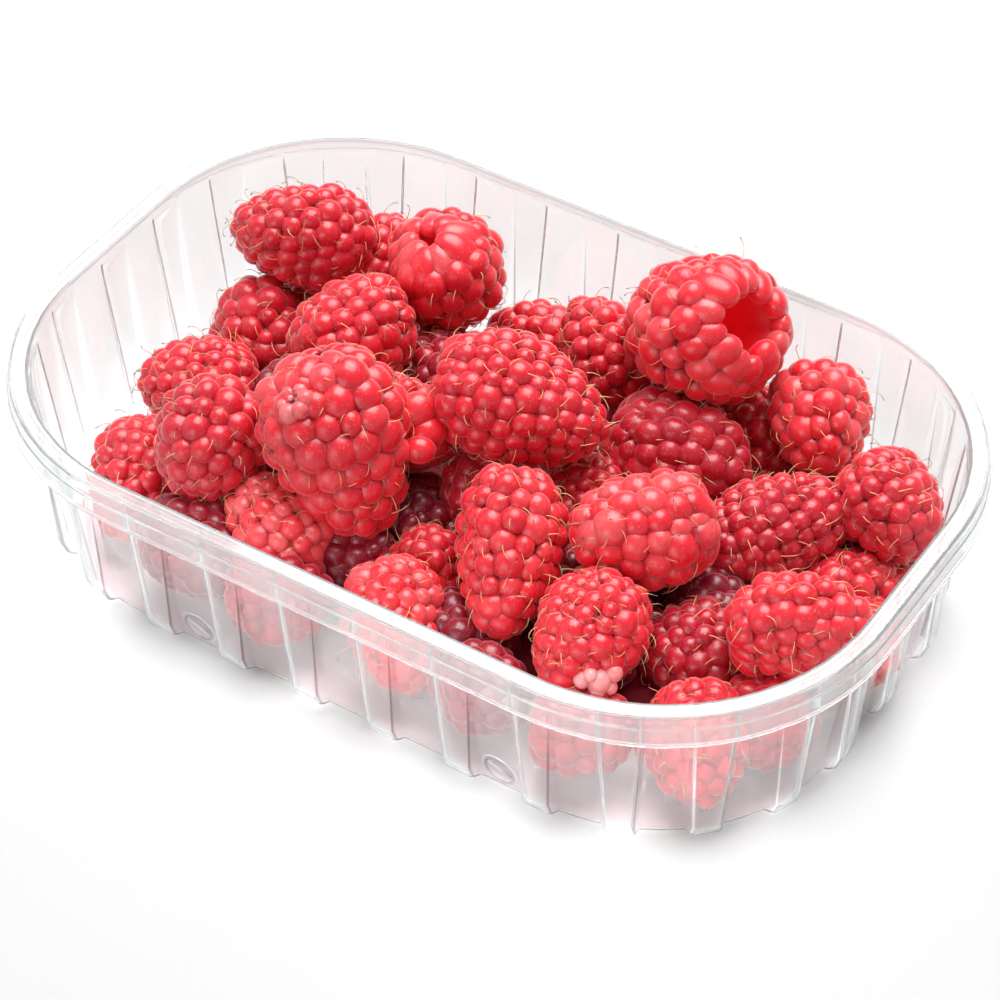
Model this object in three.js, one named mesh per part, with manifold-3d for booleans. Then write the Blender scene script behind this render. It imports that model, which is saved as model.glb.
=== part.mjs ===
// A punnet of raspberries: a clear thermoformed tray with ribbed walls, heaped with berries.
// Millimetres, +Z up. The origin is the centre of the tray's base, +X runs along the long side.
import * as THREE from "three";
import { mergeVertices } from "three/addons/utils/BufferGeometryUtils.js";
import Module from "manifold-3d";

const wasm = await Module();
wasm.setup();

// Tray: outline of the rim, and how far each level of the wall stands in from that outline.
const TRAY_LENGTH = 143;
const TRAY_WIDTH = 95;
const TRAY_HEIGHT = 30;
const CORNER_RADIUS = 36;
const SHEET = 0.5; // thickness of the sheet
const RIM_WIDTH = 3.2; // flat rim, from its outer edge to the wall's inner face
const BASE_INSET = 6.4; // foot of the wall
const FOOT_BEND = 0.8; // height over which the wall turns into its foot
const SKIRT_DROP = 5; // the rim turns down by this much
const LIP = 0.5; // the skirt's lower edge turns out
const BAND_HEIGHT = 2.6; // smooth band between rim and ribs
const FLOOR_RISE = 0.6; // the middle of the floor stands up from its foot ring
const FOOT_RING = 6; // width of that ring

// Ribs: trapezoid corrugations that run down the wall and deepen towards the foot.
const RIB_COUNT = 30;
const RIB_PHASE = 8.4; // from the middle of the front wall to the next rib's middle
const RIB_HALF_TOP = 3.3;
const RIB_HALF_FOOT = 2.8;
const RIB_DEPTH_TOP = 0.6;
const RIB_DEPTH_FOOT = 2;
const RIB_DRAFT = 0.45; // sideways run of a rib's flank for each millimetre of its depth
const RIB_FULL = 2.6; // a rib reaches its full depth this high
const RIB_SHARE_BEND = 0.75; // share of its full depth at the top of the foot's bend
const RIB_SHARE_FLOOR = 0.3; // and on the floor

// Denesting lugs: oval bosses low on the wall between two ribs, at these places along the rim.
const LUG_LENGTH = 6.4;
const LUG_HEIGHT = 4.2;
const LUG_DEPTH = 0.9;
const LUG_MIDDLE = 4.2;
const LUG_PANELS = [-2.5, 1.5];
const LUG_TILT = THREE.MathUtils.degToRad(-20);

// Berries: [x, y, z] of the middle, widest diameter, length, and the direction of the tip
// as a compass angle from +X and a rise. A cupped berry shows the hollow left by its stem.
const BERRIES = [
  { at: [-50.5, 23, 22.5], wide: 16.5, long: 22, tip: [-145, 10] },
  { at: [-40, 31, 15.5], wide: 14, long: 16, tip: [105, 55] },
  { at: [-26.5, 28.5, 21.2], wide: 18.5, long: 18.8, tip: [60, -80], cup: true },
  { at: [-51, 11.8, 9.5], wide: 15.5, long: 16, tip: [-40, -15] },
  { at: [-32, 9, 20.6], wide: 17, long: 19, tip: [-120, 0] },
  { at: [-52, -4, 10.1], wide: 16, long: 18.5, tip: [-140, 10] },
  { at: [-34.5, -23.5, 21.5], wide: 18.5, long: 18, tip: [-75, -10] },
  { at: [-15.2, -17, 26], wide: 21.5, long: 29, tip: [-30, -60], cup: true },
  { at: [-47, -25.5, 9.6], wide: 14.5, long: 19, tip: [-65, -25] },
  { at: [-21, -26.5, 14.2], wide: 15.5, long: 18, tip: [168, 17], cup: true },
  { at: [-13, -3, 20], wide: 14, long: 16, tip: [5, -15] },
  { at: [3, 3, 27.6], wide: 18.5, long: 26.5, tip: [20, -15] },
  { at: [4, -31.5, 11], wide: 14.5, long: 20, tip: [-40, -35] },
  { at: [1.2, -19.8, 10.5], wide: 13.5, long: 15, tip: [100, 65] },
  { at: [14, -17.5, 19.2], wide: 16.5, long: 25, tip: [-65, -35] },
  { at: [29, -6, 22.6], wide: 16.5, long: 21, tip: [-135, 5] },
  { at: [23, 16.6, 16.4], wide: 17.5, long: 22, tip: [10, -5] },
  { at: [2.5, 28.5, 18.5], wide: 15.5, long: 18.5, tip: [165, 40] },
  { at: [17.6, 30, 29.2], wide: 23.2, long: 24, tip: [166, -35], cup: true },
  { at: [38, 31, 19.6], wide: 15.5, long: 17.5, tip: [-55, -10] },
  { at: [43, 11, 16.5], wide: 16, long: 22, tip: [45, 15] },
  { at: [56.2, 20.4, 19.2], wide: 15.2, long: 17, tip: [-25, -20] },
  { at: [57, -8, 20.1], wide: 14.5, long: 20.5, tip: [30, 10] },
  { at: [30.5, -22.4, 15.4], wide: 16.5, long: 19, tip: [-90, -20] },
  { at: [43.5, -12.3, 9.4], wide: 15, long: 16, tip: [-25, -20] },
  { at: [51.3, -26.4, 9.2], wide: 15, long: 17, tip: [-50, -30] },
  { at: [56, 12, 9.5], wide: 13.5, long: 16.5, tip: [60, -10] },
  { at: [28.5, 31, 9.8], wide: 15, long: 17, tip: [-45, -25] },
  { at: [14, 4, 11.5], wide: 15, long: 17, tip: [65, 55] },
  { at: [1.2, -4, 11.9], wide: 15.5, long: 18, tip: [145, 65] },
  { at: [-11.5, 32.5, 10.6], wide: 14.5, long: 17, tip: [0, 30] },
  { at: [-20, 17, 11], wide: 15, long: 18, tip: [-60, 20] },
  { at: [-30.5, -33.2, 10], wide: 15.5, long: 18, tip: [-10, 0] },
  { at: [-14.5, -33.8, 9.6], wide: 14.5, long: 15.5, tip: [10, 0] },
  { at: [20, -33.6, 9.2], wide: 14.5, long: 15.5, tip: [-20, 0] },
  { at: [36.5, -32.9, 9.7], wide: 15.5, long: 17.5, tip: [20, 0] },
  { at: [-35, -11, 9.6], wide: 15, long: 17, tip: [60, 0] },
  { at: [-37, 4, 9.1], wide: 14, long: 16, tip: [80, 0] },
  { at: [-37, 24, 9.3], wide: 14.5, long: 16, tip: [60, 0] },
  { at: [5, 20, 9.1], wide: 14, long: 17, tip: [20, 0] },
  { at: [10, 33.5, 8.8], wide: 13.5, long: 16, tip: [0, 0] },
  { at: [28.5, 4, 9.1], wide: 14, long: 17, tip: [40, 0] },
  { at: [43, 23, 8.8], wide: 13.5, long: 15, tip: [60, 0] },
  { at: [57, -5, 8.6], wide: 13, long: 15, tip: [80, 0] },
];

const BERRY_COLUMNS = 12; // crests and grooves alternate round a berry
const BERRY_ROWS = [0, 0.16, 0.36, 0.56, 0.75, 0.91]; // rows of drupelets, from the stem end to the tip
const BERRY_WAIST = 0.38; // where along its length a berry is widest
const SHOULDER = 0.55; // how much of the round end is missing at the stem
const LUMP = 0.45; // a drupelet stands out from the groove beside it by twice this
const STEM_DIMPLE = 0.07; // depth of the closed end's dimple, as a share of the length
const CUP_DEPTH = 0.45; // depth of a hollow, as a share of the length
const CUP_SHELF = 0.25; // where a hollow starts to close, as a share of the length
const CUP_RADIUS = 0.2; // and its radius there, as a share of the width

// The core fills the hidden middle of the heap and holds the berries together.
const CORE_HALF = [50, 29.5, 6.2];
const CORE_MIDDLE = 8.2;
const CORE_SQUARENESS = 0.6;

const trayMaterial = new THREE.MeshStandardMaterial({
  color: 0xf4f7f8,
  roughness: 0.08,
  metalness: 0,
  transparent: true,
  opacity: 0.35,
});
const berryMaterial = new THREE.MeshStandardMaterial({ color: 0xc81f33, roughness: 0.45, metalness: 0 });

// A geometry as a manifold-3d solid, with shared vertices merged and collapsed faces dropped.
function solidOf(geometry) {
  const bare = new THREE.BufferGeometry().setAttribute("position", geometry.getAttribute("position"));
  bare.setIndex(geometry.index);
  const merged = mergeVertices(bare, 1e-4);
  const corners = merged.index.array;
  const kept = [];
  for (let i = 0; i < corners.length; i += 3) {
    const [a, b, c] = corners.slice(i, i + 3);
    if (a !== b && b !== c && c !== a) kept.push(a, b, c);
  }
  return new wasm.Manifold(
    new wasm.Mesh({
      numProp: 3,
      vertProperties: new Float32Array(merged.getAttribute("position").array),
      triVerts: new Uint32Array(kept),
    }),
  );
}

function geometryOf(solid) {
  const { vertProperties, triVerts } = solid.getMesh();
  const geometry = new THREE.BufferGeometry();
  geometry.setAttribute("position", new THREE.BufferAttribute(vertProperties, 3));
  geometry.setIndex(new THREE.BufferAttribute(triVerts, 1));
  return geometry;
}

// The largest body of a solid: sealed hollows are left out, and so filled, and loose scraps dropped.
function largestBody(solid) {
  return solid.decompose().reduce((a, b) => (b.volume() > a.volume() ? b : a));
}

// Half lengths of the outline's straight stretches, which no inset changes, and the rim's inner edge,
// along which the ribs are spaced.
const STRAIGHT_X = TRAY_LENGTH / 2 - CORNER_RADIUS;
const STRAIGHT_Y = TRAY_WIDTH / 2 - CORNER_RADIUS;
const EDGE_RADIUS = CORNER_RADIUS - RIM_WIDTH;
const QUARTER_ARC = (Math.PI / 2) * EDGE_RADIUS;
const EDGE_LENGTH = 4 * (STRAIGHT_X + STRAIGHT_Y + QUARTER_ARC);
const RIB_PITCH = EDGE_LENGTH / RIB_COUNT;

// The point and outward direction at a distance along the rim's inner edge, counted from the
// middle of the front wall towards +X, for a curve that stands in from the outline by an inset.
function outlineAt(distance, inset) {
  const radius = CORNER_RADIUS - inset;
  const half = EDGE_LENGTH / 2;
  const wrapped = THREE.MathUtils.euclideanModulo(distance, EDGE_LENGTH);
  const side = wrapped < half ? 1 : -1; // the second half is the first turned by half a turn
  let left = wrapped % half;
  let x, y, nx, ny;
  if (left <= STRAIGHT_X) {
    [x, y, nx, ny] = [left, -STRAIGHT_Y - radius, 0, -1];
  } else if ((left -= STRAIGHT_X) <= QUARTER_ARC) {
    const turn = left / EDGE_RADIUS;
    [nx, ny] = [Math.sin(turn), -Math.cos(turn)];
    [x, y] = [STRAIGHT_X + radius * nx, -STRAIGHT_Y + radius * ny];
  } else if ((left -= QUARTER_ARC) <= 2 * STRAIGHT_Y) {
    [x, y, nx, ny] = [STRAIGHT_X + radius, left - STRAIGHT_Y, 1, 0];
  } else if ((left -= 2 * STRAIGHT_Y) <= QUARTER_ARC) {
    const turn = left / EDGE_RADIUS;
    [nx, ny] = [Math.cos(turn), Math.sin(turn)];
    [x, y] = [STRAIGHT_X + radius * nx, STRAIGHT_Y + radius * ny];
  } else {
    left -= QUARTER_ARC;
    [x, y, nx, ny] = [STRAIGHT_X - left, STRAIGHT_Y + radius, 0, 1];
  }
  return { x: side * x, y: side * y, nx: side * nx, ny: side * ny };
}

// How far the wall's outer face stands in from the rim's outline at a height.
function wallInset(z) {
  return THREE.MathUtils.lerp(BASE_INSET, RIM_WIDTH - SHEET, z / TRAY_HEIGHT);
}

// The tray's section, from the middle of the underside out, up the wall's outer face, round the
// skirt and back down the inside: how far in, how high, and how deep the ribs are there.
function traySection() {
  const top = TRAY_HEIGHT;
  const ribTop = top - BAND_HEIGHT;
  const skirt = top - SKIRT_DROP;
  const ringEdge = BASE_INSET + FOOT_RING;
  const shareTop = RIB_DEPTH_TOP / RIB_DEPTH_FOOT;
  return [
    { inset: ringEdge + 1, z: FLOOR_RISE, rib: 0 },
    { inset: ringEdge, z: 0, rib: 0 },
    { inset: BASE_INSET + SHEET, z: 0, rib: RIB_SHARE_FLOOR },
    { inset: wallInset(FOOT_BEND), z: FOOT_BEND, rib: RIB_SHARE_BEND },
    { inset: wallInset(RIB_FULL), z: RIB_FULL, rib: 1 },
    { inset: wallInset(ribTop - SHEET), z: ribTop - SHEET, rib: shareTop },
    { inset: wallInset(ribTop), z: ribTop, rib: 0 },
    { inset: RIM_WIDTH - SHEET, z: top - 2 * SHEET, rib: 0 },
    { inset: RIM_WIDTH - 2 * SHEET, z: top - SHEET, rib: 0 },
    { inset: 2 * SHEET, z: top - SHEET, rib: 0 },
    { inset: SHEET, z: top - 2 * SHEET, rib: 0 },
    { inset: SHEET / 2, z: skirt + SHEET, rib: 0 },
    { inset: 0, z: skirt, rib: 0 },
    { inset: -LIP, z: skirt, rib: 0 },
    { inset: -LIP, z: skirt + SHEET, rib: 0 },
    { inset: -SHEET / 2, z: skirt + 1.2 * SHEET, rib: 0 },
    { inset: 0, z: top - SHEET, rib: 0 },
    { inset: SHEET, z: top, rib: 0 },
    { inset: RIM_WIDTH - SHEET / 2, z: top, rib: 0 },
    { inset: RIM_WIDTH, z: top - SHEET, rib: 0 },
    { inset: wallInset(ribTop) + SHEET, z: ribTop, rib: 0 },
    { inset: wallInset(ribTop - SHEET) + SHEET, z: ribTop - SHEET, rib: shareTop },
    { inset: wallInset(RIB_FULL + SHEET / 2) + SHEET, z: RIB_FULL + SHEET / 2, rib: 1 },
    { inset: wallInset(FOOT_BEND + SHEET / 2) + SHEET, z: FOOT_BEND + SHEET / 2, rib: RIB_SHARE_BEND },
    { inset: BASE_INSET + 2 * SHEET, z: SHEET, rib: RIB_SHARE_FLOOR },
    { inset: ringEdge, z: SHEET, rib: 0 },
    { inset: ringEdge + 1, z: FLOOR_RISE + SHEET, rib: 0 },
  ];
}

// Each rib has four stations along the rim: the foot and the face of one flank, then of the other.
function ribStations() {
  const stations = [];
  for (let rib = 0; rib < RIB_COUNT; rib += 1) {
    const middle = RIB_PHASE + rib * RIB_PITCH;
    stations.push({ middle, side: -1, out: 0 }, { middle, side: -1, out: 1 });
    stations.push({ middle, side: 1, out: 1 }, { middle, side: 1, out: 0 });
  }
  return stations;
}

function makeTray() {
  const section = traySection();
  const stations = ribStations();
  const columns = section.length + 2; // the section and the middle of each floor face
  const profile = Array.from({ length: columns }, (_, i) => new THREE.Vector2(1, i));
  const geometry = new THREE.LatheGeometry(profile, stations.length);
  const position = geometry.getAttribute("position");
  for (let s = 0; s <= stations.length; s += 1) {
    const { middle, side, out } = stations[s % stations.length];
    position.setXYZ(s * columns, 0, 0, FLOOR_RISE);
    position.setXYZ(s * columns + columns - 1, 0, 0, FLOOR_RISE + SHEET);
    section.forEach(({ inset, z, rib }, i) => {
      const height = THREE.MathUtils.clamp(z / (TRAY_HEIGHT - BAND_HEIGHT), 0, 1);
      const halfWidth = THREE.MathUtils.lerp(RIB_HALF_FOOT, RIB_HALF_TOP, height);
      const depth = RIB_DEPTH_FOOT * rib;
      const reach = halfWidth - out * RIB_DRAFT * depth;
      const place = outlineAt(middle + side * reach, inset);
      const push = out * depth;
      position.setXYZ(s * columns + 1 + i, place.x + push * place.nx, place.y + push * place.ny, z);
    });
  }
  let tray = solidOf(geometry);
  for (const panel of LUG_PANELS) {
    for (const half of [0, EDGE_LENGTH / 2]) {
      tray = tray.add(makeLug(RIB_PHASE + panel * RIB_PITCH + half));
    }
  }
  return largestBody(tray);
}

// A lug is half an ellipsoid proud of the wall's outer face.
function makeLug(distance) {
  const wall = outlineAt(distance, wallInset(LUG_MIDDLE) - SHEET / 2);
  const lug = new THREE.SphereGeometry(1, 10, 5);
  lug.scale(LUG_LENGTH / 2, LUG_DEPTH, LUG_HEIGHT / 2);
  lug.rotateY(LUG_TILT);
  lug.rotateZ(Math.atan2(wall.nx, -wall.ny));
  lug.translate(wall.x, wall.y, LUG_MIDDLE);
  return solidOf(lug);
}

// How wide a berry is at a share of its length, as a share of its widest.
function berryGirth(share) {
  if (share < BERRY_WAIST) return Math.sqrt(1 - SHOULDER * ((BERRY_WAIST - share) / BERRY_WAIST) ** 2);
  return Math.sqrt(1 - ((share - BERRY_WAIST) / (1 - BERRY_WAIST)) ** 2);
}

function makeBerry({ at, wide, long, tip, cup }) {
  const profile = cup
    ? [new THREE.Vector2(0, CUP_DEPTH * long), new THREE.Vector2(CUP_RADIUS * wide, CUP_SHELF * long)]
    : [new THREE.Vector2(0, STEM_DIMPLE * long)];
  const firstRow = profile.length;
  for (const share of BERRY_ROWS) {
    profile.push(new THREE.Vector2((berryGirth(share) * wide) / 2, share * long));
  }
  profile.push(new THREE.Vector2(0, long));
  const berry = new THREE.LatheGeometry(profile, BERRY_COLUMNS);
  const position = berry.getAttribute("position");
  for (let column = 0; column <= BERRY_COLUMNS; column += 1) {
    for (let row = firstRow; row < profile.length - 1; row += 1) {
      const i = column * profile.length + row;
      const lump = (column + row) % 2 ? LUMP : -LUMP;
      const scale = 1 + lump / profile[row].x;
      position.setX(i, position.getX(i) * scale);
      position.setZ(i, position.getZ(i) * scale);
    }
  }
  const [compass, rise] = tip.map(THREE.MathUtils.degToRad);
  const axis = new THREE.Vector3(
    Math.cos(compass) * Math.cos(rise),
    Math.sin(compass) * Math.cos(rise),
    Math.sin(rise),
  );
  berry.translate(0, -long / 2, 0);
  berry.applyQuaternion(new THREE.Quaternion().setFromUnitVectors(new THREE.Vector3(0, 1, 0), axis));
  berry.translate(...at);
  return solidOf(berry);
}

function makeCore() {
  const core = new THREE.SphereGeometry(1, 20, 6);
  core.rotateX(Math.PI / 2);
  const position = core.getAttribute("position");
  const squared = (v) => Math.sign(v) * Math.abs(v) ** CORE_SQUARENESS;
  for (let i = 0; i < position.count; i += 1) {
    const [x, y, z] = [position.getX(i), position.getY(i), position.getZ(i)];
    position.setX(i, squared(x) * CORE_HALF[0]);
    position.setY(i, squared(y) * CORE_HALF[1]);
    position.setZ(i, squared(z) * CORE_HALF[2] + CORE_MIDDLE);
  }
  return solidOf(core);
}

function makeHeap() {
  return largestBody(BERRIES.map(makeBerry).reduce((heap, berry) => heap.add(berry), makeCore()));
}

const punnet = new THREE.Group();
const tray = new THREE.Mesh(geometryOf(makeTray()), trayMaterial);
tray.name = "tray";
const raspberries = new THREE.Mesh(geometryOf(makeHeap()), berryMaterial);
raspberries.name = "raspberries";
punnet.add(tray, raspberries);

export default punnet;
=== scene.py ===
"""A punnet of raspberries: a clear ribbed tray and a heap of berries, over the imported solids.

Sizes are in millimetres unless a name says otherwise, and meshes are made in metres.
The origin is the centre of the tray's base, +X runs along the long side and +Z is up.
"""

import math
from collections import namedtuple

import bmesh
import bpy
import numpy as np
from mathutils import Matrix, Vector


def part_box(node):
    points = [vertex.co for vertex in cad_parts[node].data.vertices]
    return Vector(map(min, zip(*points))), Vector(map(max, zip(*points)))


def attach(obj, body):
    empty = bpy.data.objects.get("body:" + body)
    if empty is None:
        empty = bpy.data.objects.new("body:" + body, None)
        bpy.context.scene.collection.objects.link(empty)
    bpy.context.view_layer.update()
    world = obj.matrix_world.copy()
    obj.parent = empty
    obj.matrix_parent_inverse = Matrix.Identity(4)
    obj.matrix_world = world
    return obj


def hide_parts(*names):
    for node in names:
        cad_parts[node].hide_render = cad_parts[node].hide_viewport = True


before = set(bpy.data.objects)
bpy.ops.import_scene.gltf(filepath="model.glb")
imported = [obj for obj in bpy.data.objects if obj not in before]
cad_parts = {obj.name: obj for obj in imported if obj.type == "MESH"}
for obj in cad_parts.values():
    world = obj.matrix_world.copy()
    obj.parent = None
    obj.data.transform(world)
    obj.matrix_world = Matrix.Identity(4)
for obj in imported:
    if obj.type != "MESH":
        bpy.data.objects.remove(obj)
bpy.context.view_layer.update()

bl_info = {
    "name": "Punnet of Raspberries",
    "version": (1, 0, 0),
    "blender": (4, 5, 0),
    "location": "View3D > Sidebar > Punnet",
    "description": "Builds a clear ribbed tray heaped with raspberries",
    "category": "Add Mesh",
}

MM = 0.001
BODY = "root"
PLASTIC_SLOT = "clear_plastic"
BERRY_SLOT = "raspberry"
HEAP_NODE = "raspberries"

# The tray's outline comes from the frame; the rest is how its sheet is formed.
TRAY_LOW, TRAY_HIGH = (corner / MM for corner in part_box("tray"))
LIP = 0.5
TRAY_LENGTH = TRAY_HIGH.x - TRAY_LOW.x - 2 * LIP
TRAY_WIDTH = TRAY_HIGH.y - TRAY_LOW.y - 2 * LIP
TRAY_HEIGHT = TRAY_HIGH.z
HEAP_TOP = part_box(HEAP_NODE)[1].z / MM
CORNER_RADIUS = 36.0
SHEET = 0.5
RIM_WIDTH = 3.2
BASE_INSET = 6.4
SKIRT_DROP = 5.0
SKIRT_STEP = 2.1  # how far below the rim the skirt steps out
BAND_HEIGHT = 2.6
FLOOR_RISE = 0.6
FLOOR_TOP = 1.3  # the hairs stay above this
FOOT_RING = 6.0
STRAIGHT_X = TRAY_LENGTH / 2 - CORNER_RADIUS
STRAIGHT_Y = TRAY_WIDTH / 2 - CORNER_RADIUS
EDGE_RADIUS = CORNER_RADIUS - RIM_WIDTH
QUARTER_ARC = EDGE_RADIUS * math.pi / 2
EDGE_LENGTH = 4 * (STRAIGHT_X + STRAIGHT_Y + QUARTER_ARC)

RIB_COUNT = 30
RIB_PITCH = EDGE_LENGTH / RIB_COUNT
RIB_PHASE = 8.4
RIB_HALF_TOP = 3.3
RIB_HALF_FOOT = 2.8
RIB_DRAFT = 0.45
LEAST_FLANK = 0.4
BETWEEN_RIBS = -6.5  # the place of the one station on the wall between two ribs, in flanks
# Height on the wall and the depth of the ribs there.
RIB_DEPTHS = [(0.2, 0.5), (0.8, 1.4), (2.6, 2.0), (26.4, 0.62), (27.0, 0.5), (27.6, 0.0)]
FULL_LINE_DEPTH = 1.3
# How far the ribs reach in over the floor's edge, and over what width and height they fade out.
RIB_REACH, FADE_WIDTH, FADE_HEIGHT = 1.4, 1.2, 1.0
# The part of the floor with the painted pink tint and glow of red bounce light: below this height,
# and this far in from the foot of the wall.
BOUNCE_TINT_HEIGHT, BOUNCE_TINT_INSET = 1.5, 0.8
# Places across one flank, where 0 is its foot and 1 its crest, how far out each stands, and how
# strong the line is that is painted along the bend: a painted dark line on one side of a rib and a
# painted highlight on the other.
FLANK = [
    (-0.35, 0.0, 0.0), (0.0, 0.08, 0.12), (0.3, 0.3, 0.2), (0.7, 0.7, 0.36),
    (0.9, 0.86, 0.95), (1.1, 0.94, 0.2), (1.35, 1.0, 0.0),
]
# Bends of the sheet with a painted highlight line, and bends with a painted dark line: inset,
# height and strength.
BRIGHT_BENDS = [
    (2.5, TRAY_HEIGHT - 0.25, 1.0), (1.75, TRAY_HEIGHT - 0.25, 0.62),
    (0.95, TRAY_HEIGHT - 0.25, 0.8),
    (0.2, TRAY_HEIGHT - SKIRT_STEP, 0.65), (0.0, TRAY_HEIGHT - SKIRT_DROP + 0.3, 0.9),
    (BASE_INSET + 0.35, 0.45, 0.9),
]
DARK_BENDS = [
    (2.95, TRAY_HEIGHT - 0.6, 0.75), (2.1, TRAY_HEIGHT - 0.25, 0.6),
    (1.35, TRAY_HEIGHT - 0.25, 0.5), (0.45, TRAY_HEIGHT - 0.4, 0.75),
    (0.1, TRAY_HEIGHT - SKIRT_DROP + 0.8, 0.6), (BASE_INSET + 0.1, 0.9, 0.6),
]
BEND_REACH = 0.34

LUG_SIZE = (6.4, 4.2)
LUG_MIDDLE = 4.2
LUG_PANELS = (-2.5, 1.5)
LUG_TILT = math.radians(-20)
LUG_SIDES = 28
LUG_FLOOR = 0.12
# A lug's rings: share of its size, height, how strong its painted dark line is and how strong its
# painted highlight is.
LUG_RINGS = [
    (1.0, 0.0, 0.2, 0.0), (0.96, 0.35, 0.0, 1.0), (0.87, 0.5, 0.0, 0.2), (0.76, 0.45, 0.9, 0.0),
    (0.66, 0.2, 0.3, 0.0), (0.3, LUG_FLOOR, 0.0, 0.0),
]
# The bar across a lug: half its length, then height, half width and the painted dark and highlight
# marks of its foot and its top.
LUG_BAR_HALF = 2.1
LUG_BAR = ((0.05, 0.32, (0.9, 0.0)), (0.42, 0.14, (0.0, 1.0)))

# A berry's form: where it is widest, how far out the crest round its hollow stands, in drupelets,
# and how deep the hollow is.
WAIST = 0.38
CREST = 0.9
HOLLOW_DEPTH = 0.62
WIDE_MOUTH = 0.33  # round a hollow wider than this, the drupelets are seen from both sides

Berry = namedtuple(
    "Berry", "at wide long tip drupelet tone mouth point fold slant faces",
    defaults=(3.6, 0.5, 0.3, 0.1, 0.0, 0.0, 0.0),
)
# Middle, widest diameter and length, the tip's compass angle and rise, the size of a drupelet,
# tone from bright (0) to dark (1) and past 1.2 on into painted shade for berries deep in the heap,
# the radius of the hollow as a share of the berry's, how far the berry narrows to a point, how far
# the drupelets at the hollow fold over it, and by how many millimetres its rim is lower on the side
# that faces a compass angle.
TOP_BERRIES = [
    Berry((-50.5, 23, 22.5), 16.5, 22, (-145, 10), 3.5, 0.45),
    Berry((-40, 31, 15.5), 14, 16, (105, 55), 3.4, 0.3),
    Berry((-26.5, 28.5, 21.2), 18.5, 18.8, (60, -72), 4.3, 0.08, 0.36, 0, 0.45),
    Berry((-51, 11.8, 9.5), 15.5, 16, (-40, -15), 3.8, 0.4),
    Berry((-32, 9, 20.6), 17, 19, (-120, 0), 3.9, 0.25),
    Berry((-52, -4, 10.1), 16, 18.5, (-140, 10), 3.3, 0.4),
    Berry((-34.5, -23.5, 21.5), 18.5, 18, (-75, -10), 3.9, 0.45),
    Berry((-15.2, -17, 26), 21.5, 29, (-30, -60), 4.7, 0.08, 0.12, 0.6),
    Berry((-47, -25.5, 9.6), 14.5, 19, (-65, -25), 3.4, 0.45),
    Berry((-21, -26.5, 14.2), 15.5, 18, (168, 17), 3.1, -0.14, 0.36, 0.3, 0.6),
    Berry((-13, -3, 20), 14, 16, (5, -15), 3.8, 0.25),
    Berry((3, 3, 27.6), 18.5, 26.5, (20, -15), 3.5, 0.25),
    Berry((4, -31.5, 11), 14.5, 20, (-40, -35), 3.2, -0.05),
    Berry((1.2, -19.8, 10.5), 13.5, 15, (100, 65), 3.1, 0.35),
    Berry((14, -17.5, 19.2), 16.5, 25, (-65, -35), 3.6, 0.08, 0.3, 0.5),
    Berry((29, -6, 22.6), 16.5, 21, (-135, 5), 4.4, -0.04),
    Berry((23, 16.6, 16.4), 17.5, 22, (10, -5), 4.2, 0.62),
    Berry((2.5, 28.5, 18.5), 15.5, 18.5, (165, 40), 3.5, 0.3),
    Berry((17.6, 30, 29.2), 23.2, 24, (172, -33), 4.7, 0.04, 0.5),
    Berry((38, 31, 19.6), 15.5, 17.5, (-55, -10), 3.9, -0.02),
    Berry((43, 11, 16.5), 16, 22, (45, 15), 3.3, 0.6),
    Berry((56.2, 20.4, 19.2), 15.2, 17, (-25, -20), 3.5, 0.35),
    Berry((57, -8, 20.1), 14.5, 20.5, (30, 10), 3.6, 0.08),
    Berry((30.5, -22.4, 15.4), 16.5, 19, (-90, -20), 3.2, 0.14),
    Berry((43.5, -12.3, 9.4), 15, 16, (-25, -20), 3.5, 0.8),
    Berry((51.3, -26.4, 9.2), 15, 17, (-50, -30), 3.3, 0.2),
    Berry((56, 12, 9.5), 13.5, 16.5, (60, -10), 3.4, 0.3),
    Berry((28.5, 31, 9.8), 15, 17, (-45, -25), 3.7, 0.3),
    Berry((14, 4, 11.5), 15, 17, (65, 55), 2.9, 0.5),
    Berry((1.2, -4, 11.9), 15.5, 18, (145, 65), 3.4, 0.75),
    Berry((-11.5, 32.5, 10.6), 14.5, 17, (0, 30), 3.6, 0.4),
    Berry((-20, 17, 11), 15, 18, (-60, 20), 3.6, 1.0),
]
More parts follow.
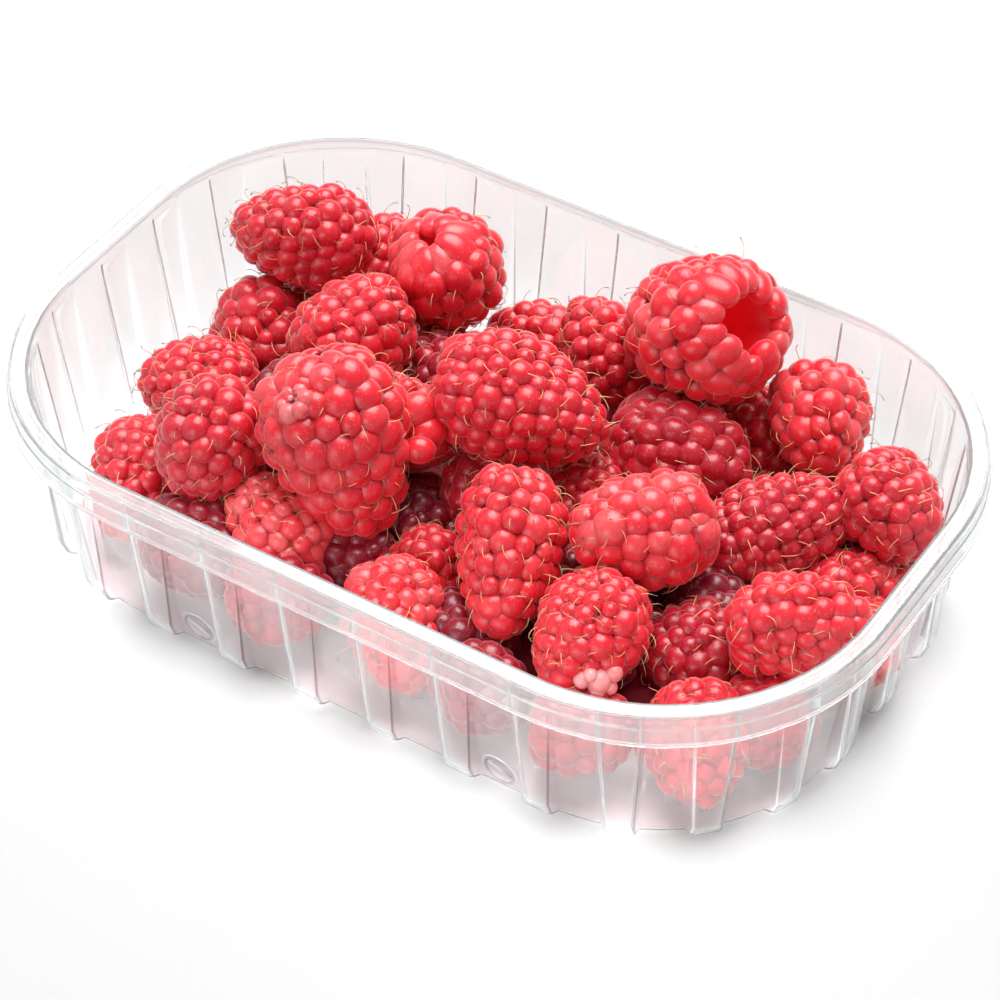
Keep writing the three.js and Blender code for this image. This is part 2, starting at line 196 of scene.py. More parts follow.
# Berries low in the heap, which show only through the wall or in the gaps between others.
# Most have dark tones, which are painted shade for lying deep in the heap.
LOW_BERRIES = [
    Berry((-30.5, -33.2, 10), 15.5, 18, (-10, 0), 3.6, 1.3),
    Berry((-14.5, -33.8, 9.6), 14.5, 15.5, (10, 0), 3.6, 0.8),
    Berry((20, -33.2, 8.2), 13, 14.5, (-20, 0), 3.6, 1.2),
    Berry((36.5, -32.4, 8.6), 13.5, 15.5, (20, 0), 3.6, 0.7),
    Berry((-35, -11, 9.6), 15, 17, (60, 0), 3.6, 1.4),
    Berry((-15, -15, 9), 14, 16, (-20, 0), 3.6, 1.4),
    Berry((-37, 4, 9.1), 14, 16, (80, 0), 3.6, 1.4),
    Berry((-20, 1, 9.2), 14.5, 17, (80, 0), 3.6, 1.4),
    Berry((-37, 24, 9.3), 14.5, 16, (60, 0)),
    Berry((5, 20, 9.1), 14, 17, (20, 0), 3.6, 1.4),
    Berry((10, 33.5, 8.8), 13.5, 16, (0, 0)),
    Berry((28.5, 4, 9.1), 14, 17, (40, 0), 3.6, 1.4),
    Berry((19, -10, 8.8), 13.5, 15, (60, 0), 3.6, 1.4),
    Berry((43, 23, 8.8), 13.5, 15, (60, 0), 3.6, 1.4),
    Berry((58, -3.5, 8.5), 13, 15, (80, 0), 3.6, 1.4),
    Berry((57.5, -16.5, 8.7), 13.5, 13.5, (40, 0), 3.6, 0.6),
    Berry((-10, -22.5, 8.8), 13.5, 16, (20, 0), 3.6, 1.5),
    Berry((-7, -9, 9), 14, 16, (100, 0), 3.6, 1.5),
    Berry((38.5, -1, 9), 14, 16, (120, 0), 3.6, 1.5),
    Berry((30.5, -14, 8.6), 13.5, 16, (150, 0), 3.6, 1.5),
    Berry((12, -25, 8.6), 13.5, 15, (40, 0), 3.6, 1.5),
    Berry((-24, -13, 9), 14, 16, (-60, 0), 3.6, 1.5),
    Berry((-25, 14, 9), 14, 16, (10, 0), 3.6, 1.5),
    Berry((14, 14, 8.8), 14, 16, (-40, 0), 3.6, 1.5),
    Berry((-50, 28, 9.2), 14, 15, (130, 0), 3.6, 0.5),
    Berry((53.5, 24, 9.6), 14, 16, (30, 0), 3.5, 0.3),
    Berry((60.5, 4, 9), 12.5, 14, (100, 0), 3.5, 0.3),
    Berry((-7.8, 17, 10), 12.5, 16.5, (85, 0), 3.6, 1.4),
    Berry((41.5, 30, 9.5), 12.5, 14, (0, 0), 3.5, 1.0),
    Berry((49.5, 1.5, 9), 13, 14, (60, 0), 3.6, 1.3),
]
BERRY_SEED = 71
BODY_SIDES = 24

# Drupelets, in pitches: the first row's place, the rows' spacing, a drupelet's half width and how
# far its foot lies under the berry's surface, and its least and greatest height.
FIRST_ROW = 0.1
ROW_SPACING = 0.86
HALF_WIDTH = 0.585
FOOT_DEPTH = 0.54
HEIGHTS = (0.57, 0.69)
LOBE_HEIGHT = 0.53
SETTLE_ROUNDS = 24
DRUPELET_CUTS = 3
LOBE_SUBDIVISIONS = 3

# Hairs: the share of the drupelets that have one, pieces and sides of each, and its least and
# greatest length and curl.
HAIR_SHARE = 0.92
HAIR_STEPS = 6
HAIR_SIDES = 3
HAIR_LENGTHS = (2.0, 4.0)
HAIR_CURLS = (1.2, 3.4)

# Odd drupelets: the number of the berry they belong to, how far they are from its middle, radius
# and tone.
ODD_DRUPELETS = [
    (7, (11.2, 5.6, 0.0), 2.1, 0.05), (7, (8.0, 9.8, 4.0), 2.6, 0.0),
    (7, (10.2, 9.0, 0.7), 2.4, 0.1), (7, (-10.2, -3.6, 8.4), 3.2, -0.15),
    # a small curled hole in a ring, whose dark middle is a drupelet painted as shade
    (7, (-3.6, -5.8, 10.8), 1.3, 1.9),
    (7, (-2.3, -5.3, 12.2), 1.5, -0.3), (7, (-3.9, -4.3, 12.2), 1.3, -0.45),
    (7, (-5.4, -5.0, 11.3), 1.4, -0.3), (7, (-5.3, -6.7, 10.4), 1.2, -0.5),
    (7, (-3.7, -7.7, 10.4), 1.5, -0.4), (7, (-2.2, -7.0, 11.3), 1.2, -0.3),
    (7, (-4.0, -6.4, 12.1), 0.35, -1.6),
    # a whitish broken bit
    (23, (6.1, -6.6, -0.3), 1.7, -0.9), (23, (3.9, -7.9, 0.0), 1.4, -1.0),
    (23, (7.3, -4.6, 0.6), 1.3, -0.7), (23, (6.2, -7.2, -1.4), 1.3, -1.1),
    (23, (5.0, -7.3, 1.2), 1.0, -1.2), (23, (7.4, -5.8, -1.2), 1.1, -0.8),
]

# Colours that aren't settings; each is linear red, green and blue, and alpha.
# Painted shade: the deepest red, which the berries low in the heap take on; random dark patches
# darken a few other drupelets towards it too.
DEEP_SHADE_RED = (0.16, 0.003, 0.02, 1)
# Painted shade low down between the drupelets.
CREVICE_SHADE_RED = (0.40, 0.004, 0.015, 1)
DOT_PINK = (0.95, 0.50, 0.42, 1)
# Painted shade: the body under the drupelets is dark, so that the gaps between them look shaded.
BODY_SHADE_RED = (0.26, 0.004, 0.014, 1)
HOLLOW_RED = (0.95, 0.016, 0.03, 1)
# A painted glow in the hollow, for the light that comes through the flesh.
HOLLOW_GLOW = (0.11, 0.0015, 0.0025, 1)
# Painted shade: the dark reds of the heap's hidden middle, which shows in the gaps between berries.
CORE_SHADE_REDS = ((0.10, 0.002, 0.008, 1), (0.26, 0.005, 0.018, 1))
HAIR_TIP = (0.10, 0.035, 0.015, 1)
# Painted shade: the colour of the dark lines along bends of the tray's sheet.
BEND_SHADE = (0.38, 0.24, 0.27, 1)
# Painted glow, faint, all over the clear plastic.
PLASTIC_GLOW = (0.008, 0.009, 0.009, 1)
# Painted bounce light: a pinkish glow on the tray's floor under the heap.
FLOOR_BOUNCE_GLOW = (0.032, 0.024, 0.026, 1)
# Painted highlight: the glow of the bright lines along bends of the tray's sheet.
GLINT_GLOW = (0.2, 0.2, 0.2, 1)
BLACK = (0, 0, 0, 1)
WHITE = (1, 1, 1, 1)
JUICE_DEPTH = (1.0, 0.15, 0.1)  # how much further red light gets in a berry than green and blue

# Lamps: name, place in metres, side and power.
SOFTBOXES = [
    ("softbox_above", (-0.05, 0.25, 0.82), 0.7, 10.0),
    ("softbox_back", (-0.16, 0.66, 0.73), 0.5, 1.8),
    ("softbox_front", (0.0, -0.95, 0.24), 0.6, 2.4),
    ("softbox_left", (-0.8, -0.2, 0.45), 0.8, 1.2),
]

# The heap's core: half its size, its middle's height, and how square it is, from 1 for a ball.
CORE_HALF = (49.0, 28.5, 3.2)
CORE_MIDDLE = 4.9
CORE_SQUARENESS = 0.6
CORE_SUBDIVISIONS = 5
CORE_LUMP, CORE_LUMP_RATE = 0.5, 1.7

# The camera: the way to it from its target, its roll, and its distance and target in metres.
CAMERA_AZIMUTH = math.radians(32.986)
CAMERA_ELEVATION = math.radians(43.525)
CAMERA_ROLL = math.radians(-0.361)
CAMERA_DISTANCE = 0.5168
CAMERA_TARGET = Vector((0.00442, -0.00486, 0.01505))
CAMERA_LENS, CAMERA_SENSOR, CAMERA_NEAR = 125.7, 36, 0.01
WORLD_LIGHT = 0.3


class TraySettings(bpy.types.PropertyGroup):
    """Sizes of the tray's sheet."""

    sheet: bpy.props.FloatProperty(
        name="Sheet", description="Thickness of the plastic sheet",
        default=SHEET * MM, min=0.1 * MM, unit="LENGTH",
    )
    rib_depth: bpy.props.FloatProperty(
        name="Rib Depth", description="Depth of the ribs, as a share of the full depth",
        default=1.0, min=0.0, max=1.5, subtype="FACTOR",
    )
    tint: bpy.props.FloatVectorProperty(
        name="Tint", description="Colour of the clear plastic",
        default=(0.965, 0.992, 0.992), size=3, min=0.0, max=1.0, subtype="COLOR",
    )
    # The floor's pink tint is painted red bounce light from the berries.
    red_bounce: bpy.props.FloatVectorProperty(
        name="Juice", description="Colour of the tray's floor, where juice tints it",
        default=(0.98, 0.84, 0.87), size=3, min=0.0, max=1.0, subtype="COLOR",
    )


class BerrySettings(bpy.types.PropertyGroup):
    """Sizes and colours of the berries."""

    plumpness: bpy.props.FloatProperty(
        name="Plumpness", description="How far the drupelets bulge out of a berry",
        default=1.0, min=0.3, max=1.5, subtype="FACTOR",
    )
    unevenness: bpy.props.FloatProperty(
        name="Unevenness", description="How much the drupelets differ in size",
        default=0.11, min=0.0, max=0.4, subtype="FACTOR",
    )
    hair_thickness: bpy.props.FloatProperty(
        name="Hair Thickness", description="Radius of a hair at its root",
        default=0.078 * MM, min=0.01 * MM, unit="LENGTH",
    )
    # Pale red also paints the sheen at the edge of each drupelet.
    pale: bpy.props.FloatVectorProperty(
        name="Pale Red", description="Colour of dusty and dry drupelets, and of a drupelet's rim",
        default=(0.90, 0.38, 0.38), size=3, min=0.0, max=1.0, subtype="COLOR",
    )
    bright: bpy.props.FloatVectorProperty(
        name="Bright Red", description="Colour of the brightest drupelets",
        default=(0.88, 0.014, 0.032), size=3, min=0.0, max=1.0, subtype="COLOR",
    )
    dark: bpy.props.FloatVectorProperty(
        name="Dark Red", description="Colour of the darkest drupelets",
        default=(0.40, 0.004, 0.022), size=3, min=0.0, max=1.0, subtype="COLOR",
    )
    hair: bpy.props.FloatVectorProperty(
        name="Hair", description="Colour of the hairs",
        default=(0.86, 0.56, 0.28), size=3, min=0.0, max=1.0, subtype="COLOR",
    )


class StageSettings(bpy.types.PropertyGroup):
    """The floor and the light."""

    floor_size: bpy.props.FloatProperty(
        name="Floor Size", description="Length of the floor's side",
        default=6.0, min=0.5, unit="LENGTH",
    )
    floor_colour: bpy.props.FloatVectorProperty(
        name="Floor Colour", description="Colour of the floor",
        default=(0.62, 0.62, 0.62), size=3, min=0.0, max=1.0, subtype="COLOR",
    )


# ---------------------------------------------------------------- helpers

def new_object(name, mesh):
    """An object at the origin that holds this mesh, in the scene."""
    piece = bpy.data.objects.new(name, mesh)
    bpy.context.scene.collection.objects.link(piece)
    return piece


def mesh_of(name, points, faces=(), edges=()):
    """A mesh from points in millimetres."""
    mesh = bpy.data.meshes.new(name)
    mesh.from_pydata((np.asarray(points, float) * MM).tolist(), list(edges), list(faces))
    mesh.update()
    return mesh


def add_attribute(mesh, name, kind, values):
    """A point attribute: kind is FLOAT or FLOAT_VECTOR."""
    attribute = mesh.attributes.new(name, kind, "POINT")
    key = "vector" if kind == "FLOAT_VECTOR" else "value"
    attribute.data.foreach_set(key, np.asarray(values, np.float32).ravel())


def made_mesh(piece):
    """Replaces a piece's mesh by its evaluated one and takes its modifiers off."""
    depsgraph = bpy.context.evaluated_depsgraph_get()
    depsgraph.update()
    mesh = bpy.data.meshes.new_from_object(piece.evaluated_get(depsgraph), depsgraph=depsgraph)
    piece.modifiers.clear()
    old = piece.data
    piece.data = mesh
    mesh.name = piece.name
    bpy.data.meshes.remove(old)
    return piece


def grow(piece, tree, **values):
    """Runs a Geometry Nodes tree on a piece, with its inputs set by name, and keeps the result."""
    modifier = piece.modifiers.new(tree.name, "NODES")
    modifier.node_group = tree
    for item in tree.interface.items_tree:
        if item.item_type == "SOCKET" and item.in_out == "INPUT" and item.name in values:
            modifier[item.identifier] = values[item.name]
    return made_mesh(piece)


def smooth(mesh):
    """Shades all faces smooth."""
    mesh.polygons.foreach_set("use_smooth", np.ones(len(mesh.polygons), bool))
    mesh.update()


def keep(piece, slot, *nodes):
    """Puts a finished piece on the body and hides the imported parts that it stands for; slot is
    not used.
    """
    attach(piece, BODY)
    if nodes:
        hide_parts(*nodes)


# ---------------------------------------------------------------- node building

def new_tree(name, kind, inputs, outputs):
    """A node group with named sockets, each given as (name, socket type, default)."""
    tree = bpy.data.node_groups.new(name, kind)
    for in_out, sockets in (("INPUT", inputs), ("OUTPUT", outputs)):
        for label, socket_type, default in sockets:
            socket = tree.interface.new_socket(label, in_out=in_out, socket_type=socket_type)
            if default is not None:
                socket.default_value = default
    return tree


def add_node(tree, kind, settings=None, **inputs):
    """A node with its settings and inputs. An input is a value or another node's output, and is
    given by its name, or by its number as i0, i1 and so on."""
    node = tree.nodes.new(kind)
    for key, value in (settings or {}).items():
        setattr(node, key, value)
    for key, value in inputs.items():
        numbered = key[0] == "i" and key[1:].isdigit()
        socket = node.inputs[int(key[1:]) if numbered else key]
        if isinstance(value, bpy.types.NodeSocket):
            tree.links.new(value, socket)
        else:
            socket.default_value = value
    return node


def finished(tree, real, group_in):
    """Ends a Geometry Nodes tree: its realized geometry gets the material and goes out."""
    material = group_in.outputs["Material"]
    painted = add_node(
        tree, "GeometryNodeSetMaterial", Geometry=real.outputs[0], Material=material
    )
    add_node(tree, "NodeGroupOutput", Geometry=painted.outputs[0])
    return tree


def plant_drupelets_tree():
    """Sets one drupelet on each point, turned and sized by the point's own attributes."""
    tree = new_tree(
        "Plant Drupelets", "GeometryNodeTree",
        [
            ("Geometry", "NodeSocketGeometry", None),
            ("Drupelet", "NodeSocketObject", None),
            ("Plumpness", "NodeSocketFloat", 1.0),
            ("Unevenness", "NodeSocketFloat", 0.1),
            ("Seed", "NodeSocketInt", BERRY_SEED),
            ("Material", "NodeSocketMaterial", None),
        ],
        [("Geometry", "NodeSocketGeometry", None)],
    )
    tree.is_modifier = True
    group_in = tree.nodes.new("NodeGroupInput")
    shape = add_node(tree, "GeometryNodeObjectInfo", Object=group_in.outputs["Drupelet"])
    vector = {"data_type": "FLOAT_VECTOR"}
    turn = add_node(tree, "GeometryNodeInputNamedAttribute", vector, Name="turn")
    size = add_node(tree, "GeometryNodeInputNamedAttribute", vector, Name="size")
    rotation = add_node(tree, "FunctionNodeEulerToRotation", i0=turn.outputs["Attribute"])
    unevenness = group_in.outputs["Unevenness"]
    spread = tree.nodes.new("FunctionNodeRandomValue")
    spread.data_type = "FLOAT"
    for name, operation in (("Min", "SUBTRACT"), ("Max", "ADD")):
        limit = add_node(tree, "ShaderNodeMath", {"operation": operation}, i0=1.0, i1=unevenness)
        socket = next(s for s in spread.inputs if s.name == name and s.enabled)
        tree.links.new(limit.outputs[0], socket)
    tree.links.new(group_in.outputs["Seed"], spread.inputs["Seed"])
    random_size = next(s for s in spread.outputs if s.enabled)
    bulge = add_node(tree, "ShaderNodeCombineXYZ", X=1.0, Y=1.0, Z=group_in.outputs["Plumpness"])
    scaled = add_node(
        tree, "ShaderNodeVectorMath", {"operation": "MULTIPLY"},
        i0=size.outputs["Attribute"], i1=bulge.outputs[0],
    )
    uneven = add_node(tree, "ShaderNodeVectorMath", {"operation": "SCALE"}, i0=scaled.outputs[0])
    tree.links.new(random_size, uneven.inputs["Scale"])
    planted = add_node(
        tree, "GeometryNodeInstanceOnPoints",
        Points=group_in.outputs["Geometry"], Instance=shape.outputs["Geometry"],
        Rotation=rotation.outputs[0], Scale=uneven.outputs[0],
    )
    real = add_node(tree, "GeometryNodeRealizeInstances", Geometry=planted.outputs[0])
    return finished(tree, real, group_in)


def grow_hairs_tree():
    """Turns chains of edges into thin tapered tubes."""
    tree = new_tree(
        "Grow Hairs", "GeometryNodeTree",
        [
            ("Geometry", "NodeSocketGeometry", None),
            ("Thickness", "NodeSocketFloat", 0.0001),
            ("Sides", "NodeSocketInt", 3),
            ("Material", "NodeSocketMaterial", None),
        ],
        [("Geometry", "NodeSocketGeometry", None)],
    )
    tree.is_modifier = True
    group_in = tree.nodes.new("NodeGroupInput")
    line = add_node(tree, "GeometryNodeMeshToCurve", Mesh=group_in.outputs["Geometry"])
    taper = add_node(
        tree, "GeometryNodeInputNamedAttribute", {"data_type": "FLOAT"}, Name="taper"
    )
    ring = add_node(
        tree, "GeometryNodeCurvePrimitiveCircle", {"mode": "RADIUS"},
        Resolution=group_in.outputs["Sides"], Radius=1.0,
    )
    radius = add_node(
        tree, "ShaderNodeMath", {"operation": "MULTIPLY"},
        i0=taper.outputs["Attribute"], i1=group_in.outputs["Thickness"],
    )
    tube = add_node(
        tree, "GeometryNodeCurveToMesh", Curve=line.outputs[0], Scale=radius.outputs[0]
    )
    tree.links.new(ring.outputs[0], tube.inputs["Profile Curve"])
    tube.inputs["Fill Caps"].default_value = True
    real = add_node(tree, "GeometryNodeRealizeInstances", Geometry=tube.outputs[0])
    return finished(tree, real, group_in)


# ---------------------------------------------------------------- tray

def outline_at(distance, inset):
    """The point and outward direction at a distance along the rim's inner edge, for a curve that
    stands in from the outline by an inset. The second half is the first turned by half a turn."""
    radius = CORNER_RADIUS - inset
    half = EDGE_LENGTH / 2
    wrapped = distance % EDGE_LENGTH
    side = 1 if wrapped < half else -1
    left = wrapped % half
    if left <= STRAIGHT_X:
        x, y, nx, ny = left, -STRAIGHT_Y - radius, 0.0, -1.0
    elif left <= STRAIGHT_X + QUARTER_ARC:
        turn = (left - STRAIGHT_X) / EDGE_RADIUS
        nx, ny = math.sin(turn), -math.cos(turn)
        x, y = STRAIGHT_X + radius * nx, -STRAIGHT_Y + radius * ny
    elif left <= STRAIGHT_X + QUARTER_ARC + 2 * STRAIGHT_Y:
        x, y, nx, ny = STRAIGHT_X + radius, left - STRAIGHT_X - QUARTER_ARC - STRAIGHT_Y, 1.0, 0.0
    elif left <= STRAIGHT_X + 2 * QUARTER_ARC + 2 * STRAIGHT_Y:
        turn = (left - STRAIGHT_X - QUARTER_ARC - 2 * STRAIGHT_Y) / EDGE_RADIUS
        nx, ny = math.cos(turn), math.sin(turn)
        x, y = STRAIGHT_X + radius * nx, STRAIGHT_Y + radius * ny
    else:
        x, y, nx, ny = half - left, STRAIGHT_Y + radius, 0.0, 1.0
    return side * x, side * y, side * nx, side * ny


def wall_inset(z):
    """How far the wall's outer face stands in from the rim's outline at a height."""
    return BASE_INSET + (RIM_WIDTH - SHEET - BASE_INSET) * z / TRAY_HEIGHT


def rounded(corners, steps=4):
    """A line through corners, each (inset, height, radius), with the corners rounded."""
    line = [np.array(corners[0][:2], float)]
    for before, here, after in zip(corners, corners[1:], corners[2:]):
        corner = np.array(here[:2], float)
        ends = []
        for other in (before, after):
            way = np.array(other[:2], float) - corner
            ends.append(corner + way * min(here[2] / np.linalg.norm(way), 0.5))
        for k in range(steps + 1):
            t = k / steps
            line.append((1 - t) ** 2 * ends[0] + 2 * t * (1 - t) * corner + t * t * ends[1])
    line.append(np.array(corners[-1][:2], float))
    return line


def tray_section():
    """The middle of the sheet, from the floor out, up the wall, over the rim and down the skirt."""
    half = SHEET / 2
    ring = BASE_INSET + FOOT_RING
    top = TRAY_HEIGHT - half
    skirt = TRAY_HEIGHT - SKIRT_DROP + half
    foot = rounded([
        (ring + 3, FLOOR_RISE + half, 0),
        (ring + 1, FLOOR_RISE + half, 0.5),
        (ring, half, 0.5),
        (wall_inset(half) + half, half, 0.7),
        (wall_inset(3) + half, 3, 0),
    ])
    heights = np.linspace(3, TRAY_HEIGHT - BAND_HEIGHT, 12)[1:]
    wall = [np.array((wall_inset(z) + half, z)) for z in heights]
    step = TRAY_HEIGHT - SKIRT_STEP
    rim = rounded([(wall_inset(28) + half, 28.0, 0), (RIM_WIDTH - half, top, 0.3), (2.5, top, 0)])
    rim += [np.array((inset, top)) for inset in (2.25, 2.1, 1.95, 1.75, 1.55, 1.35, 1.15)]
    skirt_line = rounded([
        (0.95, top, 0),
        (0.55, top, 0.4),
        (0.42, step + 0.25, 0.15),
        (0.12, step - 0.15, 0.15),
        (0.0, skirt, 0.3),
        (-LIP, skirt, 0),
    ])
    return foot + wall + rim + skirt_line


def rib_depth_at(inset, z):
    """How far the ribs stand out of the wall; they fade out over the floor's edge, and the rim and
    the skirt have none."""
    if inset > wall_inset(0) + RIB_REACH or inset < RIM_WIDTH / 2:
        return 0.0
    heights, depths = zip(*RIB_DEPTHS)
    depth = float(np.interp(z, heights, depths))
    if z < FADE_HEIGHT:
        depth *= min(1.0, (wall_inset(0) + RIB_REACH - inset) / FADE_WIDTH)
    return depth


def tray_stations():
    """Places round the tray: (middle of a rib, side, place across the flank, share of the depth,
    strength of the painted line)."""
    stations = []
    for rib in range(RIB_COUNT):
        middle = RIB_PHASE + rib * RIB_PITCH
        stations += [(middle, -1, *place) for place in FLANK]
        stations += [(middle, 0, 0.0, 1.0, 0.0)]
        stations += [(middle, 1, *place) for place in reversed(FLANK)]
        stations += [(middle, 1, BETWEEN_RIBS, 0.0, 0.0)]
    return stations


def bend_at(bends, inset, z):
    """How strongly the painted lines of some of the bends show at a place of the sheet's section.
    """
    return max(
        strength * max(0.0, 1 - math.hypot(inset - at_inset, z - at_z) / BEND_REACH)
        for at_inset, at_z, strength in bends
    )


def tray_mesh(rib_share):
    """The tray as one curved surface, in the middle of the sheet. Its bends are marked for painted
    lines: one attribute is 1 where a painted dark line shades them, and glint is 1 where a painted
    highlight lights them."""
    section = tray_section()
    stations = tray_stations()
    points, shade_lines, glints, floors = [], [], [], []
    for middle, side, across, out, line in stations:
        for inset, z in section:
            share = min(max(z / (TRAY_HEIGHT - BAND_HEIGHT), 0), 1)
            half_width = RIB_HALF_FOOT + (RIB_HALF_TOP - RIB_HALF_FOOT) * share
            depth = rib_share * rib_depth_at(inset, z)
            flank = max(RIB_DRAFT * depth, LEAST_FLANK)
            place = outline_at(middle + side * (half_width - across * flank), inset)
            push = out * depth
            shown = line * min(depth / FULL_LINE_DEPTH, 1)
            # Painted dark lines on one flank of each rib and at the dark bends, painted highlights
            # on the other flank and at the bright bends.
            shade_lines.append(max(shown if side > 0 else 0.0, bend_at(DARK_BENDS, inset, z)))
            glints.append(max(shown if side < 0 else 0.0, bend_at(BRIGHT_BENDS, inset, z)))
            floors.append(1.0 if z < BOUNCE_TINT_HEIGHT and inset > BASE_INSET + BOUNCE_TINT_INSET else 0.0)
            points.append((place[0] + push * place[2], place[1] + push * place[3], z))
    rows = len(section)
    count = len(stations)
    faces = [
        (s * rows + r, (s + 1) % count * rows + r, (s + 1) % count * rows + r + 1, s * rows + r + 1)
        for s in range(count) for r in range(rows - 1)
    ]
    points.append((0, 0, FLOOR_RISE + SHEET / 2))
    shade_lines.append(0)
    glints.append(0)
    floors.append(1)
    centre = len(points) - 1
    faces += [(centre, (s + 1) % count * rows, s * rows) for s in range(count)]
    mesh = mesh_of("tray", points, faces)
    add_attribute(mesh, "crease", "FLOAT", shade_lines)
    add_attribute(mesh, "glint", "FLOAT", glints)
    add_attribute(mesh, "floor", "FLOAT", floors)
    return mesh


def lug_mesh(distance):
    """A lug: a shallow oval ring on the wall with a bar across it. Each point also has how strong a
    painted dark line and a painted highlight are there."""
    x, y, nx, ny = outline_at(distance, wall_inset(LUG_MIDDLE) + 0.05)
    along = np.array((-ny, nx, 0.0))
    out = np.array((nx, ny, 0.1))
    up = np.cross(along, out) * -1
    middle = np.array((x, y, LUG_MIDDLE))
    turned = math.cos(LUG_TILT) * along + math.sin(LUG_TILT) * up
    across = -math.sin(LUG_TILT) * along + math.cos(LUG_TILT) * up
    points, marks = [], []
    for reach, height, dark, light in LUG_RINGS:
        for k in range(LUG_SIDES):
            turn = 2 * math.pi * k / LUG_SIDES
            a = reach * LUG_SIZE[0] / 2 * math.cos(turn)
            b = reach * LUG_SIZE[1] / 2 * math.sin(turn)
            points.append(middle + a * turned + b * across + height * out)
            marks.append((dark, light))
    faces = []
    for ring in range(len(LUG_RINGS) - 1):
        for k in range(LUG_SIDES):
            a, b = ring * LUG_SIDES + k, ring * LUG_SIDES + (k + 1) % LUG_SIDES
            faces.append((a, b, b + LUG_SIDES, a + LUG_SIDES))
    points.append(middle + LUG_FLOOR * out)
    marks.append((0.0, 0.0))
    last = (len(LUG_RINGS) - 1) * LUG_SIDES
    faces += [(len(points) - 1, last + k, last + (k + 1) % LUG_SIDES) for k in range(LUG_SIDES)]
    first = len(points)
    long = LUG_BAR_HALF
    for height, half, mark in LUG_BAR:
        for a, b in ((-long, -half), (long, -half), (long, half), (-long, half)):
            points.append(middle + a * turned + b * across + height * out)
            marks.append(mark)
    bar = [(0, 1, 5, 4), (1, 2, 6, 5), (2, 3, 7, 6), (3, 0, 4, 7), (4, 5, 6, 7), (3, 2, 1, 0)]
    faces += [tuple(first + i for i in face) for face in bar]
    return points, faces, marks


def make_tray(settings):
    """The whole tray as one thin closed sheet."""
    tray = new_object("clear_tray", tray_mesh(settings.rib_depth))
    solidify = tray.modifiers.new("Sheet", "SOLIDIFY")
    solidify.thickness = settings.sheet
    solidify.offset = 0
    made_mesh(tray)
    shell = bmesh.new()
    shell.from_mesh(tray.data)
    crease, glint = shell.verts.layers.float["crease"], shell.verts.layers.float["glint"]
    for panel in LUG_PANELS:
        for half in (0, EDGE_LENGTH / 2):
            points, faces, marks = lug_mesh(RIB_PHASE + panel * RIB_PITCH + half)
            corners = [shell.verts.new(Vector(p) * MM) for p in points]
            for corner, (dark, light) in zip(corners, marks):
                corner[crease], corner[glint] = dark, light
            for face in faces:
                shell.faces.new([corners[i] for i in face])
    bmesh.ops.recalc_face_normals(shell, faces=shell.faces)
    shell.to_mesh(tray.data)
    shell.free()
    smooth(tray.data)
    return tray


# ---------------------------------------------------------------- berries

def girth(berry, share):
    """A berry's radius at a share of its length from the stem end, as a share of its widest."""
    crest = berry.mouth + CREST * berry.drupelet / berry.wide
    stem = np.sqrt(1 - (1 - crest ** 2) * (np.clip(WAIST - share, 0, None) / WAIST) ** 2)
    past = np.clip(share - WAIST, 0, None) / (1 - WAIST)
    return stem * np.sqrt(1 - past ** 2) * (1 - 0.3 * berry.point * past)


